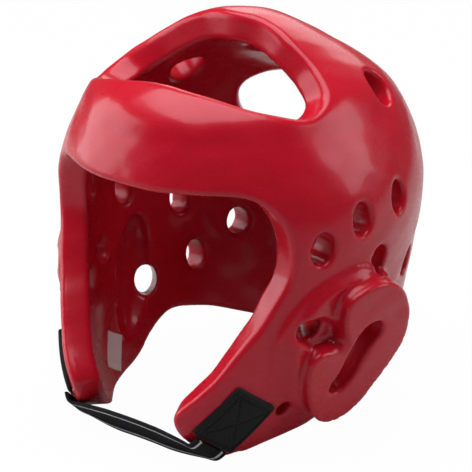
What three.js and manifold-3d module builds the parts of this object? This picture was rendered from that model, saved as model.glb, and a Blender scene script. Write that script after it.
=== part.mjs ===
// A taekwondo head guard: a dipped foam shell that stands on its cheeks and nape, two ear guards bonded to
// its sides, a chin strap between two sewn patches, and a small label inside one cheek.
// Millimetres, +Z up. The wearer faces -Y and the wearer's left is +X. The floor is z = 0.
import * as THREE from 'three';
import { mergeVertices } from 'three/addons/utils/BufferGeometryUtils.js';
import Module from 'manifold-3d';

const wasm = await Module();
wasm.setup();

// Driving dimensions
const SHELL_WIDTH = 202; // over the temples
const FRONT_REACH = 104; // from the middle of the crown forward to the brow
const REAR_REACH = 110; // from the middle of the crown back to the back of the head
const SKIRT_DROP = 130; // from the level of the temples down to the floor
const CROWN_RISE = 102; // from the level of the temples up to the top
const FOAM = 17; // wall of the shell
const PIECE_GAP = 0.3; // between pieces that touch

const BROW_LEVEL = 27; // lower edge of the forehead band, above the temples' level
const CHEEK_FAN = 35; // the cheeks' front faces are cut towards a line this far in front of the middle
const CROWN_CUT_DEPTH = 32; // the edges round the top opening are cut towards this height over the temples
const CROWN_CUT_LEAD = 10; // and this far in front of the middle

const WINDOW_WIDTH = 129; // opening at the back of the head
const WINDOW_HEIGHT = 62;
const WINDOW_LEVEL = 23; // its middle, above the temples' level
const WINDOW_SQUARENESS = 2.5;

const VENT_HEIGHT = 18; // oval vents through the sides
const VENT_WIDTH = 13.5;
const VENT_LEAN = 0.42; // share of the way that their bores are turned in line with the ears
const CROWN_BORE = 22; // holes through the sides of the crown
const REAR_SLOT_WIDTH = 44; // oval hole in the crown, behind the arch
const REAR_SLOT_LENGTH = 22;
const EYELET_BORE = 9; // small blind hole low on each cheek
const EYELET_DEPTH = 8;

const EAR_LENGTH = 88; // ear guard, along its leaning axis
const EAR_PROUD = 12; // its flat face, out from the shell
const EAR_SLOT_LENGTH = 50;
const EAR_SLOT_TOP = 13; // width of the slot at its top
const EAR_SLOT_FOOT = 10; // and at its foot
const EAR_PORT_BORE = 14; // hole through the front slope of the ear guard

const PATCH_LENGTH = 38; // down the cheek
const PATCH_WIDTH = 31;
const PATCH_THICKNESS = 2.4;
const STRAP_WIDTH = 25;
const STRAP_THICKNESS = 1.8;
const STRAP_LEAD = 5; // it leaves the patch straight for this far
const LABEL_WIDTH = 18;
const LABEL_LENGTH = 23;
const LABEL_THICKNESS = 0.6;

// Fineness of the meshes
const TURNS = 48;
const SKIRT_STEPS = 7;
const CROWN_STEPS = 8;
const BORE_SIDES = 12;
const OUTLINE_STEPS = 40;
const SLOT_STEPS = 8; // along each round end of the slot over the ear
const CORNER_STEPS = 3; // along each corner of a plate
const REACH_IN = 0.3; // cutters start at this share of the way out to the wall
const REACH_OUT = 2.4; // and end at this one
const PLATE_CORNER = 0.08; // rounding of patches and label, as a share of their width
const STRAP_STEPS = 20;
// Rings of the face's cutter, as shares of the front reach
const FACE_RINGS = [0.02, 0.3, 0.55, 0.8, 1.05, 2.4];
const CLEAR = 60; // how far straight cutters run past what they cut
const WELD = 0.001; // corners of a cutter nearer than this are one
const TURN_STEP = 1; // degrees, for the slope of the outer form
const LEVEL_STEP = 0.01; // and the same in levels

// Outer form. Level -1 is the floor, 0 the temples and 1 the top. Side, front and rear are shares of the
// half width, the front reach and the rear reach.
const SHELL_FORM = [
  { level: -1.1, side: 0.6, front: 1.0, rear: 0.94 },
  { level: -0.9, side: 0.73, front: 1.09, rear: 0.97 },
  { level: -0.65, side: 0.845, front: 1.15, rear: 1.0 },
  { level: -0.35, side: 0.93, front: 1.09, rear: 1.0 },
  { level: 0, side: 1.0, front: 1.0, rear: 1.0 },
  { level: 0.33, side: 0.953, front: 1.05, rear: 1.035 },
  { level: 0.45, side: 0.962, front: 1.085, rear: 0.96 },
  { level: 0.63, side: 0.868, front: 0.95, rear: 0.8 },
  { level: 1, side: 0.84, front: 0.88, rear: 0.72 },
];
const FORM_SQUARENESS = 2.15;

// Front edge of the left cheek, from the brow down to the tip and back along the jaw: turn in degrees from
// the front about the cheeks' fan line, height as a share of the brow's level or of the skirt's drop.
const CHEEK_EDGE = [
  { turn: 0, brow: 1, drop: 0 },
  { turn: 30, brow: 1.03, drop: 0 },
  { turn: 50, brow: 1.02, drop: 0 },
  { turn: 60, brow: 0.85, drop: 0 },
  { turn: 66.5, brow: 0.45, drop: 0 },
  { turn: 69.5, brow: 0, drop: 0.02 },
  { turn: 68.6, brow: 0, drop: 0.14 },
  { turn: 63.7, brow: 0, drop: 0.24 },
  { turn: 58.2, brow: 0, drop: 0.34 },
  { turn: 49.9, brow: 0, drop: 0.44 },
  { turn: 40.6, brow: 0, drop: 0.56 },
  { turn: 33, brow: 0, drop: 0.64 },
  { turn: 27.5, brow: 0, drop: 0.695 },
  { turn: 25, brow: 0, drop: 0.74 },
  { turn: 25.5, brow: 0, drop: 0.8 },
  { turn: 29, brow: 0, drop: 0.86 },
  { turn: 36, brow: 0, drop: 0.92 },
  { turn: 46, brow: 0, drop: 0.975 },
  { turn: 56, brow: 0, drop: 1.0 },
  { turn: 58, brow: 0, drop: 1.3 },
];

// Edge of the opening over the forehead, from the middle of the band round to the middle of the arch:
// turn in degrees from the front, level as in the outer form
const TOP_EDGE = [
  { turn: 0, level: 0.54 },
  { turn: 20, level: 0.52 },
  { turn: 38, level: 0.478 },
  { turn: 52, level: 0.435 },
  { turn: 62, level: 0.415 },
  { turn: 70, level: 0.44 },
  { turn: 75.5, level: 0.48 },
  { turn: 78, level: 0.54 },
  { turn: 79, level: 0.6 },
  { turn: 77, level: 0.705 },
  { turn: 72, level: 0.85 },
  { turn: 0, level: 0.945 },
];

// Rim under the ears, seen from the side: place as a share of the front or rear reach, rise above the
// floor as a share of the skirt's drop
const RIM_EDGE = [
  { along: -1.3, rise: 0 },
  { along: -0.84, rise: 0 },
  { along: -0.73, rise: 0.012 },
  { along: -0.58, rise: 0.045 },
  { along: -0.42, rise: 0.052 },
  { along: -0.28, rise: 0.06 },
  { along: -0.16, rise: 0.09 },
  { along: -0.05, rise: 0.14 },
  { along: 0.09, rise: 0.185 },
  { along: 0.2, rise: 0.19 },
  { along: 0.35, rise: 0.16 },
  { along: 0.52, rise: 0.115 },
  { along: 0.68, rise: 0.055 },
  { along: 0.8, rise: 0.012 },
  { along: 0.9, rise: 0 },
  { along: 1.3, rise: 0 },
];

// Vents of the left side, by turn from the front and level; the right side mirrors them
const VENTS = [
  { turn: 76.3, level: 0.045 },
  { turn: 96, level: 0.06 },
  { turn: 61.2, level: -0.03 },
  { turn: 86, level: -0.175 },
  { turn: 114, level: -0.31 },
  { turn: 138, level: -0.465 },
  { turn: 119, level: -0.61 },
  { turn: 91.5, level: -0.63 },
];
const CROWN_HOLE = { turn: 115, level: 0.42 };
const REAR_SLOT = { turn: 180, level: 0.62 };
const EYELET = { turn: 51, level: -0.77 };

// Ear guard: where its middle lies on the shell, with yaw turning it to the front and roll leaning it back
const EAR_PLACE = { turn: 78.5, level: -0.57, yaw: 10, roll: -36, front: 8 };

// Its outlines seen square to its face, from the lower rear round by the front: angle in degrees from the
// front towards the top, reach of the pad and of the mound under it as shares of half the guard's length
const EAR_OUTLINE = [
  { angle: -180, pad: 0.77, mound: 0.86 },
  { angle: -160, pad: 0.82, mound: 0.88 },
  { angle: -140, pad: 0.95, mound: 0.98 },
  { angle: -120, pad: 1.01, mound: 1.03 },
  { angle: -105, pad: 1.0, mound: 1.05 },
  { angle: -90, pad: 0.91, mound: 1.05 },
  { angle: -70, pad: 0.81, mound: 1.08 },
  { angle: -45, pad: 0.76, mound: 1.12 },
  { angle: -28, pad: 0.73, mound: 1.14 },
  { angle: -17, pad: 0.64, mound: 1.16 },
  { angle: -8, pad: 0.44, mound: 1.16 },
  { angle: 5, pad: 0.37, mound: 1.16 },
  { angle: 16, pad: 0.43, mound: 1.16 },
  { angle: 25, pad: 0.64, mound: 1.16 },
  { angle: 33, pad: 0.9, mound: 1.16 },
  { angle: 42, pad: 1.02, mound: 1.15 },
  { angle: 58, pad: 1.045, mound: 1.14 },
  { angle: 75, pad: 1.045, mound: 1.08 },
  { angle: 90, pad: 1.02, mound: 1.03 },
  { angle: 105, pad: 0.98, mound: 0.98 },
  { angle: 120, pad: 0.94, mound: 0.95 },
  { angle: 140, pad: 0.89, mound: 0.92 },
  { angle: 160, pad: 0.82, mound: 0.88 },
  { angle: 180, pad: 0.77, mound: 0.86 },
];

// Its layers, from the base inside the wall to the flat face: height and growth all round as shares of how
// proud the guard stands, and how far the outline is the mound's
const EAR_LAYERS = [
  { out: -1.1, mound: 1, grow: 0.1 },
  { out: -0.1, mound: 1, grow: 0 },
  { out: 0.15, mound: 0.82, grow: 0 },
  { out: 0.33, mound: 0.4, grow: 0 },
  { out: 0.42, mound: 0.06, grow: -0.2 },
  { out: 0.52, mound: 0, grow: -0.06 },
  { out: 0.66, mound: 0, grow: 0 },
  { out: 0.88, mound: 0, grow: -0.03 },
  { out: 1, mound: 0, grow: -0.17 },
];
const EAR_SLOT_PLACE = { front: -2.5, up: -1, lean: 9 };
const EAR_PORT_PLACE = { turn: 59.5, level: -0.37, yaw: 30 };
const PATCH_PLACE = { turn: 34.3, level: -0.77, roll: -40 };
const LABEL_PLACE = { turn: -52.5, level: -0.86, roll: 35 };

// Strap, from the middle of the chin towards the patch: places as shares of the half width, the front reach
// and the skirt's drop
const STRAP_ROUTE = [
  { side: 0, front: 0.933, drop: 0.906 },
  { side: 0.15, front: 0.931, drop: 0.91 },
  { side: 0.3, front: 0.925, drop: 0.92 },
  { side: 0.41, front: 0.912, drop: 0.93 },
];
const STRAP_TILT = 45; // degrees that the strap's width leans back from the upright, under the chin
const STRAP_TWIST = 0.8; // share of its half length over which it turns to lie in line with the patch

const EAR_TURN = 90; // degrees from the front to the ears
const FOOT = SHELL_FORM[0].level; // level at which the closed form ends, under the floor

const halfWidth = SHELL_WIDTH / 2;
const sides = { left: 1, right: -1 };
const up = new THREE.Vector3(0, 0, 1);
const across = new THREE.Vector3(1, 0, 0);
const radians = THREE.MathUtils.degToRad;

// Smooth value of a table's column at a place between its rows
function column(rows, key, name, place) {
  const last = rows.length - 1;
  const clamped = THREE.MathUtils.clamp(place, rows[0][key], rows[last][key]);
  const after = Math.max(1, rows.findIndex((row) => row[key] >= clamped));
  const before = after - 1;
  const slope = (i) => {
    const a = rows[Math.max(i - 1, 0)];
    const b = rows[Math.min(i + 1, last)];
    return (b[name] - a[name]) / (b[key] - a[key]);
  };
  const span = rows[after][key] - rows[before][key];
  const t = (clamped - rows[before][key]) / span;
  const rise = rows[after][name] - rows[before][name];
  const start = slope(before) * span;
  const end = slope(after) * span;
  return rows[before][name] + start * t + (3 * rise - 2 * start - end) * t * t
    + (start + end - 2 * rise) * t * t * t;
}

// Point of the shell's outer face, or inset from it, by turn from the front in degrees and by level
function shellPoint(turn, level, inset = 0) {
  const toSide = Math.abs(Math.sin(radians(turn)));
  const toEnd = Math.cos(radians(turn));
  const side = halfWidth * column(SHELL_FORM, 'level', 'side', level) - inset;
  const end = toEnd > 0
    ? FRONT_REACH * column(SHELL_FORM, 'level', 'front', level) - inset
    : REAR_REACH * column(SHELL_FORM, 'level', 'rear', level) - inset;
  const n = FORM_SQUARENESS;
  const belt = ((toSide / side) ** n + (Math.abs(toEnd) / end) ** n) ** (-1 / n);
  const lift = radians(90 * Math.max(level, 0));
  const radius = belt * Math.cos(lift);
  const height = level > 0 ? (CROWN_RISE - inset) * Math.sin(lift) : level * SKIRT_DROP;
  return new THREE.Vector3(
    radius * Math.sin(radians(turn)),
    -radius * Math.cos(radians(turn)),
    SKIRT_DROP + height,
  );
}

// Outward direction square to the shell's outer face
function shellNormal(turn, level) {
  const alongTurn = shellPoint(turn + TURN_STEP, level).sub(shellPoint(turn - TURN_STEP, level));
  const alongLevel = shellPoint(turn, level + LEVEL_STEP).sub(shellPoint(turn, level - LEVEL_STEP));
  return alongTurn.cross(alongLevel).normalize();
}

// Closed mesh from rings of as many points each, with a flat or pointed end at either side
function loft(rings) {
  const size = rings[0].length;
  const vertices = rings.flat();
  const triangles = [];
  for (let r = 0; r + 1 < rings.length; r += 1) {
    for (let i = 0; i < size; i += 1) {
      const a = r * size + i;
      const b = r * size + ((i + 1) % size);
      triangles.push([a, b, b + size], [a, b + size, a + size]);
    }
  }
  const middle = (ring) => ring.reduce((sum, p) => sum.add(p), new THREE.Vector3()).divideScalar(size);
  const foot = vertices.push(middle(rings[0])) - 1;
  const head = vertices.push(middle(rings.at(-1))) - 1;
  const top = (rings.length - 1) * size;
  for (let i = 0; i < size; i += 1) {
    const next = (i + 1) % size;
    triangles.push([foot, next, i], [head, top + i, top + next]);
  }
  return solid(vertices, triangles);
}

// Solid from points and triangles, turned the right way out
function solid(vertices, triangles) {
  let volume = 0;
  for (const [a, b, c] of triangles) {
    volume += vertices[a].dot(new THREE.Vector3().crossVectors(vertices[b], vertices[c]));
  }
  const faces = volume < 0 ? triangles.map(([a, b, c]) => [a, c, b]) : triangles;
  return new wasm.Manifold(new wasm.Mesh({
    numProp: 3,
    vertProperties: new Float32Array(vertices.flatMap((p) => p.toArray())),
    triVerts: new Uint32Array(faces.flat()),
  }));
}

// Solid from a three.js geometry
function solidOf(geometry) {
  const bare = geometry.index ? geometry.toNonIndexed() : geometry;
  bare.deleteAttribute('normal');
  bare.deleteAttribute('uv');
  const merged = mergeVertices(bare, WELD);
  const places = merged.getAttribute('position');
  const vertices = [];
  for (let i = 0; i < places.count; i += 1) {
    vertices.push(new THREE.Vector3().fromBufferAttribute(places, i));
  }
  const corners = Array.from(merged.index.array);
  const triangles = [];
  for (let i = 0; i < corners.length; i += 3) {
    triangles.push(corners.slice(i, i + 3));
  }
  return solid(vertices, triangles);
}

// Three.js mesh with its own material from a solid
function piece(name, body, finish) {
  const { vertProperties, triVerts, numProp } = body.getMesh();
  const places = [];
  for (let i = 0; i < vertProperties.length; i += numProp) {
    places.push(vertProperties[i], vertProperties[i + 1], vertProperties[i + 2]);
  }
  const geometry = new THREE.BufferGeometry();
  geometry.setAttribute('position', new THREE.Float32BufferAttribute(places, 3));
  geometry.setIndex(Array.from(triVerts));
  geometry.computeVertexNormals();
  const mesh = new THREE.Mesh(geometry, new THREE.MeshStandardMaterial(finish));
  mesh.name = name;
  return mesh;
}

// Cutter that fans out from an apex through a closed outline
function fanCutter(outline, apex) {
  const at = (share) => outline.map((p) => p.clone().sub(apex).multiplyScalar(share).add(apex));
  return loft([at(REACH_IN), at(1), at(REACH_OUT)]);
}

// Frame on the shell: z axis outward, turned to the front by its yaw and about itself by its roll, origin
// on the outer face and moved to the front along it
function shellFrame({ turn, level, yaw = 0, roll = 0, front = 0 }) {
  const outward = shellNormal(turn, level).applyAxisAngle(up, -radians(yaw));
  const upward = up.clone().addScaledVector(outward, -up.dot(outward)).normalize();
  upward.applyAxisAngle(outward, radians(roll));
  const rearward = new THREE.Vector3().crossVectors(upward, outward);
  const origin = shellPoint(turn, level).addScaledVector(rearward, -front);
  return new THREE.Matrix4().makeBasis(rearward, upward, outward).setPosition(origin);
}

// Bore along a frame's outward axis, through the wall or to a depth
function bore(frame, diameter, stretch = 1, depth = CLEAR) {
  const geometry = new THREE.CylinderGeometry(diameter / 2, diameter / 2, CLEAR + depth, BORE_SIDES);
  geometry.rotateX(Math.PI / 2);
  geometry.translate(0, 0, (CLEAR - depth) / 2);
  geometry.scale(stretch, 1, 1);
  geometry.applyMatrix4(frame);
  return solidOf(geometry);
}

// The outer face of the shell, or the same form inset from it, as a closed body
function shellBody(inset, foot) {
  const rings = [];
  const levels = [];
  for (let i = 0; i <= SKIRT_STEPS; i += 1) {
    levels.push(foot * (1 - i / SKIRT_STEPS));
  }
  for (let i = 1; i < CROWN_STEPS; i += 1) {
    levels.push(i / CROWN_STEPS);
  }
  for (const level of levels) {
    const ring = [];
    for (let i = 0; i < TURNS; i += 1) {
      ring.push(shellPoint((360 * i) / TURNS, level, inset));
    }
    rings.push(ring);
  }
  return loft(rings);
}

// Opening for the face, cut towards an upright line behind the brow
function faceCutter() {
  const place = ({ turn, brow, drop }, side) => new THREE.Vector2(
    side * turn,
    SKIRT_DROP + BROW_LEVEL * brow - SKIRT_DROP * drop,
  );
  const left = new THREE.SplineCurve(CHEEK_EDGE.map((row) => place(row, 1))).getPoints(OUTLINE_STEPS);
  const right = left.slice(1).reverse().map((p) => new THREE.Vector2(-p.x, p.y));
  const edge = [...left, ...right];
  if (THREE.ShapeUtils.isClockWise(edge)) {
    edge.reverse();
  }
  const faces = THREE.ShapeUtils.triangulateShape(edge, []);
  const count = edge.length;
  const vertices = FACE_RINGS.flatMap((share) => edge.map(({ x, y }) => new THREE.Vector3(
    share * FRONT_REACH * Math.sin(radians(x)),
    -CHEEK_FAN - share * FRONT_REACH * Math.cos(radians(x)),
    y,
  )));
  const last = (FACE_RINGS.length - 1) * count;
  const triangles = faces.flatMap(([a, b, c]) => [[a, b, c], [a + last, c + last, b + last]]);
  for (let start = 0; start < last; start += count) {
    for (let i = 0; i < count; i += 1) {
      const a = start + i;
      const b = start + ((i + 1) % count);
      triangles.push([a, a + count, b + count], [a, b + count, b]);
    }
  }
  return solid(vertices, triangles);
}

// Opening over the forehead, between the band and the arch
function topCutter() {
  const apex = new THREE.Vector3(0, -CROWN_CUT_LEAD, SKIRT_DROP + CROWN_CUT_DEPTH);
  const left = TOP_EDGE.map(({ turn, level }) => shellPoint(turn, level));
  const right = TOP_EDGE.slice(1, -1).reverse().map(({ turn, level }) => shellPoint(-turn, level));
  return fanCutter([...left, ...right], apex);
}

// Window at the back of the head
function windowCutter() {
  const middle = SKIRT_DROP + WINDOW_LEVEL;
  const apex = new THREE.Vector3(0, 0, middle);
  const power = 2 / WINDOW_SQUARENESS;
  const outline = [];
  for (let i = 0; i < OUTLINE_STEPS; i += 1) {
    const angle = (2 * Math.PI * i) / OUTLINE_STEPS;
    const c = Math.cos(angle);
    const s = Math.sin(angle);
    const x = (WINDOW_WIDTH / 2) * Math.sign(c) * Math.abs(c) ** power;
    const z = (WINDOW_HEIGHT / 2) * Math.sign(s) * Math.abs(s) ** power;
    outline.push(new THREE.Vector3(x, REAR_REACH * Math.sqrt(1 - (x / REAR_REACH) ** 2), middle + z));
  }
  return fanCutter(outline, apex);
}

// What lies under the rim, seen from the side
function rimCutter() {
  const place = (along, rise) => new THREE.Vector2(
    along * (along < 0 ? FRONT_REACH : REAR_REACH),
    rise * SKIRT_DROP,
  );
  const curve = new THREE.SplineCurve(RIM_EDGE.map(({ along, rise }) => place(along, rise)));
  const shape = new THREE.Shape(curve.getPoints(OUTLINE_STEPS / 2));
  shape.lineTo(2 * REAR_REACH, 0);
  shape.lineTo(2 * REAR_REACH, -CLEAR);
  shape.lineTo(-2 * FRONT_REACH, -CLEAR);
  shape.lineTo(-2 * FRONT_REACH, 0);
  const geometry = new THREE.ExtrudeGeometry(shape, { depth: 2 * SHELL_WIDTH, bevelEnabled: false });
  geometry.translate(0, 0, -SHELL_WIDTH);
  geometry.applyMatrix4(new THREE.Matrix4().makeBasis(new THREE.Vector3(0, 1, 0), up, across));
  return solidOf(geometry);
}

// Mirror image on the other side
function mirrored(body, side) {
  return side === sides.left ? body : body.mirror([1, 0, 0]);
}

const earFrame = shellFrame(EAR_PLACE);

// Ring of a layer of the ear guard
function earRing({ out, mound, grow }) {
  const ring = [];
  for (let i = 0; i < OUTLINE_STEPS; i += 1) {
    const angle = (360 * i) / OUTLINE_STEPS - 180;
    const pad = column(EAR_OUTLINE, 'angle', 'pad', angle);
    const base = column(EAR_OUTLINE, 'angle', 'mound', angle);
    const reach = (EAR_LENGTH / 2) * THREE.MathUtils.lerp(pad, base, mound) + grow * EAR_PROUD;
    ring.push(new THREE.Vector3(
      -reach * Math.cos(radians(angle)),
      reach * Math.sin(radians(angle)),
      out * EAR_PROUD,
    ).applyMatrix4(earFrame));
  }
  return ring;
}

// Slot over the ear, wider at its top
function earSlotCutter() {
  const top = EAR_SLOT_TOP / 2;
  const foot = EAR_SLOT_FOOT / 2;
  const shape = new THREE.Shape();
  shape.absarc(0, EAR_SLOT_LENGTH / 2 - top, top, 0, Math.PI, false);
  shape.absarc(0, foot - EAR_SLOT_LENGTH / 2, foot, Math.PI, 2 * Math.PI, false);
  const geometry = new THREE.ExtrudeGeometry(shape, {
    depth: 2 * CLEAR,
    bevelEnabled: false,
    curveSegments: SLOT_STEPS,
  });
  geometry.translate(0, 0, -CLEAR);
  geometry.rotateZ(radians(EAR_SLOT_PLACE.lean));
  geometry.translate(-EAR_SLOT_PLACE.front, EAR_SLOT_PLACE.up, 0);
  geometry.applyMatrix4(earFrame);
  return solidOf(geometry);
}

// Plate that follows the shell's outer face at a depth under it, cut to a rounded rectangle
function plate(place, width, length, inset, thickness) {
  const corner = width * PLATE_CORNER;
  const shape = new THREE.Shape();
  const quarter = Math.PI / 2;
  [[1, 1], [-1, 1], [-1, -1], [1, -1]].forEach(([x, y], i) => shape.absarc(
    x * (width / 2 - corner),
    y * (length / 2 - corner),
    corner,
    i * quarter,
    (i + 1) * quarter,
    false,
  ));
  const geometry = new THREE.ExtrudeGeometry(shape, {
    depth: 2 * FOAM,
    bevelEnabled: false,
    curveSegments: CORNER_STEPS,
  });
  geometry.translate(0, 0, -FOAM - inset);
  geometry.applyMatrix4(shellFrame(place));
  return shellBody(inset - thickness, FOOT).subtract(shellBody(inset, FOOT)).intersect(solidOf(geometry));
}

// Strap from patch to patch under the chin, its ends in line with the patches
function strap() {
  const atPatch = shellFrame(PATCH_PLACE);
  const height = PIECE_GAP + STRAP_THICKNESS / 2;
  const end = -PATCH_LENGTH / 2 - PIECE_GAP;
  const half = STRAP_ROUTE.map(({ side, front, drop }) => new THREE.Vector3(
    halfWidth * side,
    -FRONT_REACH * front,
    SKIRT_DROP * (1 - drop),
  ));
  for (const y of [end - STRAP_LEAD, end]) {
    half.push(new THREE.Vector3(0, y, height).applyMatrix4(atPatch));
  }
  const route = new THREE.CatmullRomCurve3([
    ...half.slice(1).reverse().map((p) => new THREE.Vector3(-p.x, p.y, p.z)),
    ...half,
  ]);
  const wideAtChin = new THREE.Vector3(0, Math.sin(radians(STRAP_TILT)), -Math.cos(radians(STRAP_TILT)));
  const wideAtPatch = new THREE.Vector3().setFromMatrixColumn(atPatch, 0);
  const rings = [];
  for (let i = 0; i <= STRAP_STEPS; i += 1) {
    const side = (2 * i) / STRAP_STEPS - 1;
    const middle = route.getPointAt(i / STRAP_STEPS);
    const along = route.getTangentAt(i / STRAP_STEPS);
    const wideAtSide = wideAtPatch.clone();
    wideAtSide.x *= Math.sign(side);
    const turned = THREE.MathUtils.smoothstep(Math.abs(side), 0, STRAP_TWIST);
    const wide = wideAtChin.clone().lerp(wideAtSide, turned);
    wide.addScaledVector(along, -wide.dot(along)).setLength(STRAP_WIDTH / 2);
    const thick = new THREE.Vector3().crossVectors(along, wide).setLength(STRAP_THICKNESS / 2);
    rings.push([[1, 1], [-1, 1], [-1, -1], [1, -1]].map(([w, t]) => (
      middle.clone().addScaledVector(wide, w).addScaledVector(thick, t)
    )));
  }
  return loft(rings);
}

const earPort = bore(shellFrame(EAR_PORT_PLACE), EAR_PORT_BORE);
const labelDepth = FOAM + PIECE_GAP + LABEL_THICKNESS;
const patch = plate(PATCH_PLACE, PATCH_WIDTH, PATCH_LENGTH, -PIECE_GAP, PATCH_THICKNESS);
const label = plate(LABEL_PLACE, LABEL_WIDTH, LABEL_LENGTH, labelDepth, LABEL_THICKNESS);

const red = { color: 0xa81c2b, roughness: 0.28, metalness: 0 };
const black = { color: 0x1d1d1f, roughness: 0.85, metalness: 0 };
const white = { color: 0xd8d4d2, roughness: 0.6, metalness: 0 };

function shell() {
  let body = shellBody(0, FOOT).subtract(shellBody(FOAM, FOOT));
  const cutters = [faceCutter(), topCutter(), windowCutter(), rimCutter()];
  cutters.push(bore(shellFrame(REAR_SLOT), REAR_SLOT_LENGTH, REAR_SLOT_WIDTH / REAR_SLOT_LENGTH));
  for (const side of Object.values(sides)) {
    for (const vent of VENTS) {
      const leaning = { ...vent, yaw: (vent.turn - EAR_TURN) * VENT_LEAN };
      cutters.push(mirrored(bore(shellFrame(leaning), VENT_HEIGHT, VENT_WIDTH / VENT_HEIGHT), side));
    }
    cutters.push(mirrored(bore(shellFrame(CROWN_HOLE), CROWN_BORE), side));
    cutters.push(mirrored(bore(shellFrame(EYELET), EYELET_BORE, 1, EYELET_DEPTH), side));
    cutters.push(mirrored(earSlotCutter(), side));
    cutters.push(mirrored(earPort, side));
  }
  for (const cutter of cutters) {
    body = body.subtract(cutter);
  }
  return piece('shell', body, red);
}

function earGuard(name, side) {
  const body = loft(EAR_LAYERS.map(earRing))
    .subtract(shellBody(-PIECE_GAP, FOOT))
    .subtract(earSlotCutter())
    .subtract(earPort);
  return piece(name, mirrored(body, side), red);
}

const headgear = new THREE.Group();
headgear.add(shell());
for (const [name, side] of Object.entries(sides)) {
  headgear.add(earGuard(`ear_guard_${name}`, side));
  headgear.add(piece(`strap_patch_${name}`, mirrored(patch, side), black));
}
headgear.add(piece('chin_strap', strap(), black));
headgear.add(piece('care_label', label, white));

// The origin is on the floor, in the middle of the whole
const extent = new THREE.Box3().setFromObject(headgear);
const centre = extent.getCenter(new THREE.Vector3());
for (const mesh of headgear.children) {
  mesh.geometry.translate(-centre.x, -centre.y, -extent.min.z);
}

export default headgear;
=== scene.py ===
"""A taekwondo head guard on a plain floor: dipped foam with its ear guards, two sewn strap patches, a woven
chin strap and a blank label, in a soft studio light."""

import math

import bpy
import numpy as np
from bpy.props import FloatProperty, FloatVectorProperty, PointerProperty
from bpy.types import Operator, Panel, PropertyGroup
from mathutils import Matrix, Vector


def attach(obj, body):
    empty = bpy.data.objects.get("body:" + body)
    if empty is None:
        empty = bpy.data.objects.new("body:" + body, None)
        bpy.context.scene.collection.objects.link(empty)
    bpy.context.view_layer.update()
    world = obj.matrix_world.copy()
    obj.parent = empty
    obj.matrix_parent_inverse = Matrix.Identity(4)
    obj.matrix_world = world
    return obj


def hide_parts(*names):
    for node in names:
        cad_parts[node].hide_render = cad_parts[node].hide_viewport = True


bl_info = {
    "name": "Taekwondo Head Guard",
    "version": (1, 0, 0),
    "blender": (4, 5, 0),
    "location": "View3D > Sidebar > Head Guard",
    "description": "Builds a dipped foam head guard piece by piece, with its studio",
    "category": "Object",
}

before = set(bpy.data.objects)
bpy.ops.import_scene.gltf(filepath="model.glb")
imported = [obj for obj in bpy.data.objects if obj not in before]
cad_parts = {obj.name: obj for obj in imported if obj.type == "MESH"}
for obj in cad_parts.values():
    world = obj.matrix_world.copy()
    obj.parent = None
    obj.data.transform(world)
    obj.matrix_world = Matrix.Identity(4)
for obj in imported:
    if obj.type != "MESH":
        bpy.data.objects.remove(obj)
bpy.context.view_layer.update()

MM = 0.001  # one millimetre in metres
TINY = 1e-6  # keeps a division from zero
FRAME_SHIFT = np.array([0.0, -0.5, 0.0])  # from the form's own origin to the frame's, in millimetres

# Outer form. Level -1 is the floor, 0 the temples and 1 the top. Side, front and rear are shares of the
# half width, the front reach and the rear reach.
SHELL_FORM = {
    "level": (-1.1, -0.9, -0.65, -0.35, 0, 0.33, 0.45, 0.63, 1),
    "side": (0.6, 0.73, 0.845, 0.93, 1, 0.953, 0.962, 0.868, 0.84),
    "front": (1, 1.09, 1.15, 1.09, 1, 1.05, 1.085, 0.95, 0.88),
    "rear": (0.94, 0.97, 1, 1, 1, 1.035, 0.96, 0.8, 0.72),
}
FORM_SQUARENESS = 2.15

# Front edge of a cheek, from the brow to the tip and back along the jaw: turn in degrees about the
# cheeks' fan line, height over the temples' level as shares of the brow's level and the skirt's drop
CHEEK_EDGE = (
    (0, 1, 0), (30, 1.03, 0), (50, 1.02, 0), (60, 0.85, 0), (66.5, 0.45, 0), (69.5, 0, 0.02),
    (68.6, 0, 0.14), (63.7, 0, 0.24), (58.2, 0, 0.34), (49.9, 0, 0.44), (40.6, 0, 0.56), (33, 0, 0.64),
    (27.5, 0, 0.695), (25, 0, 0.74), (25.5, 0, 0.8), (29, 0, 0.86), (36, 0, 0.92), (46, 0, 0.975),
    (56, 0, 1), (58, 0, 1.3),
)

# Edge of the opening over the forehead, from the band's middle to the arch's: turn in degrees, level
TOP_EDGE = (
    (0, 0.54), (20, 0.52), (38, 0.478), (52, 0.435), (62, 0.415), (70, 0.44), (75.5, 0.48), (78, 0.54),
    (79, 0.6), (77, 0.705), (72, 0.85), (0, 0.945),
)

# Rim under the ears: place as a share of the front or rear reach, rise as a share of the skirt's drop
RIM_EDGE = (
    (-1.3, 0), (-0.84, 0), (-0.73, 0.012), (-0.58, 0.045), (-0.42, 0.052), (-0.28, 0.06), (-0.16, 0.09),
    (-0.05, 0.14), (0.09, 0.185), (0.2, 0.19), (0.35, 0.16), (0.52, 0.115), (0.68, 0.055), (0.8, 0.012),
    (0.9, 0), (1.3, 0),
)

# Holes, by turn in degrees and level; a vent's last number is its bore's own yaw to the front
VENTS = (
    (76.3, 0.045, 0), (96, 0.06, 0), (61.2, -0.03, 0), (86, -0.175, 0), (114, -0.31, 0),
    (138, -0.465, 0), (119, -0.61, 0), (98.5, -0.66, -40),
)
VENT_LEAN = 0.42  # share of the way that the vents' bores are turned in line with the ears
EAR_TURN = 90  # turn of the line through both ears
CROWN_HOLE = (115, 0.42)
REAR_SLOT = (180, 0.62)
EYELET = (51, -0.77)
THROUGH = 0.06  # depth of a hole that goes through the wall, in metres

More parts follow.
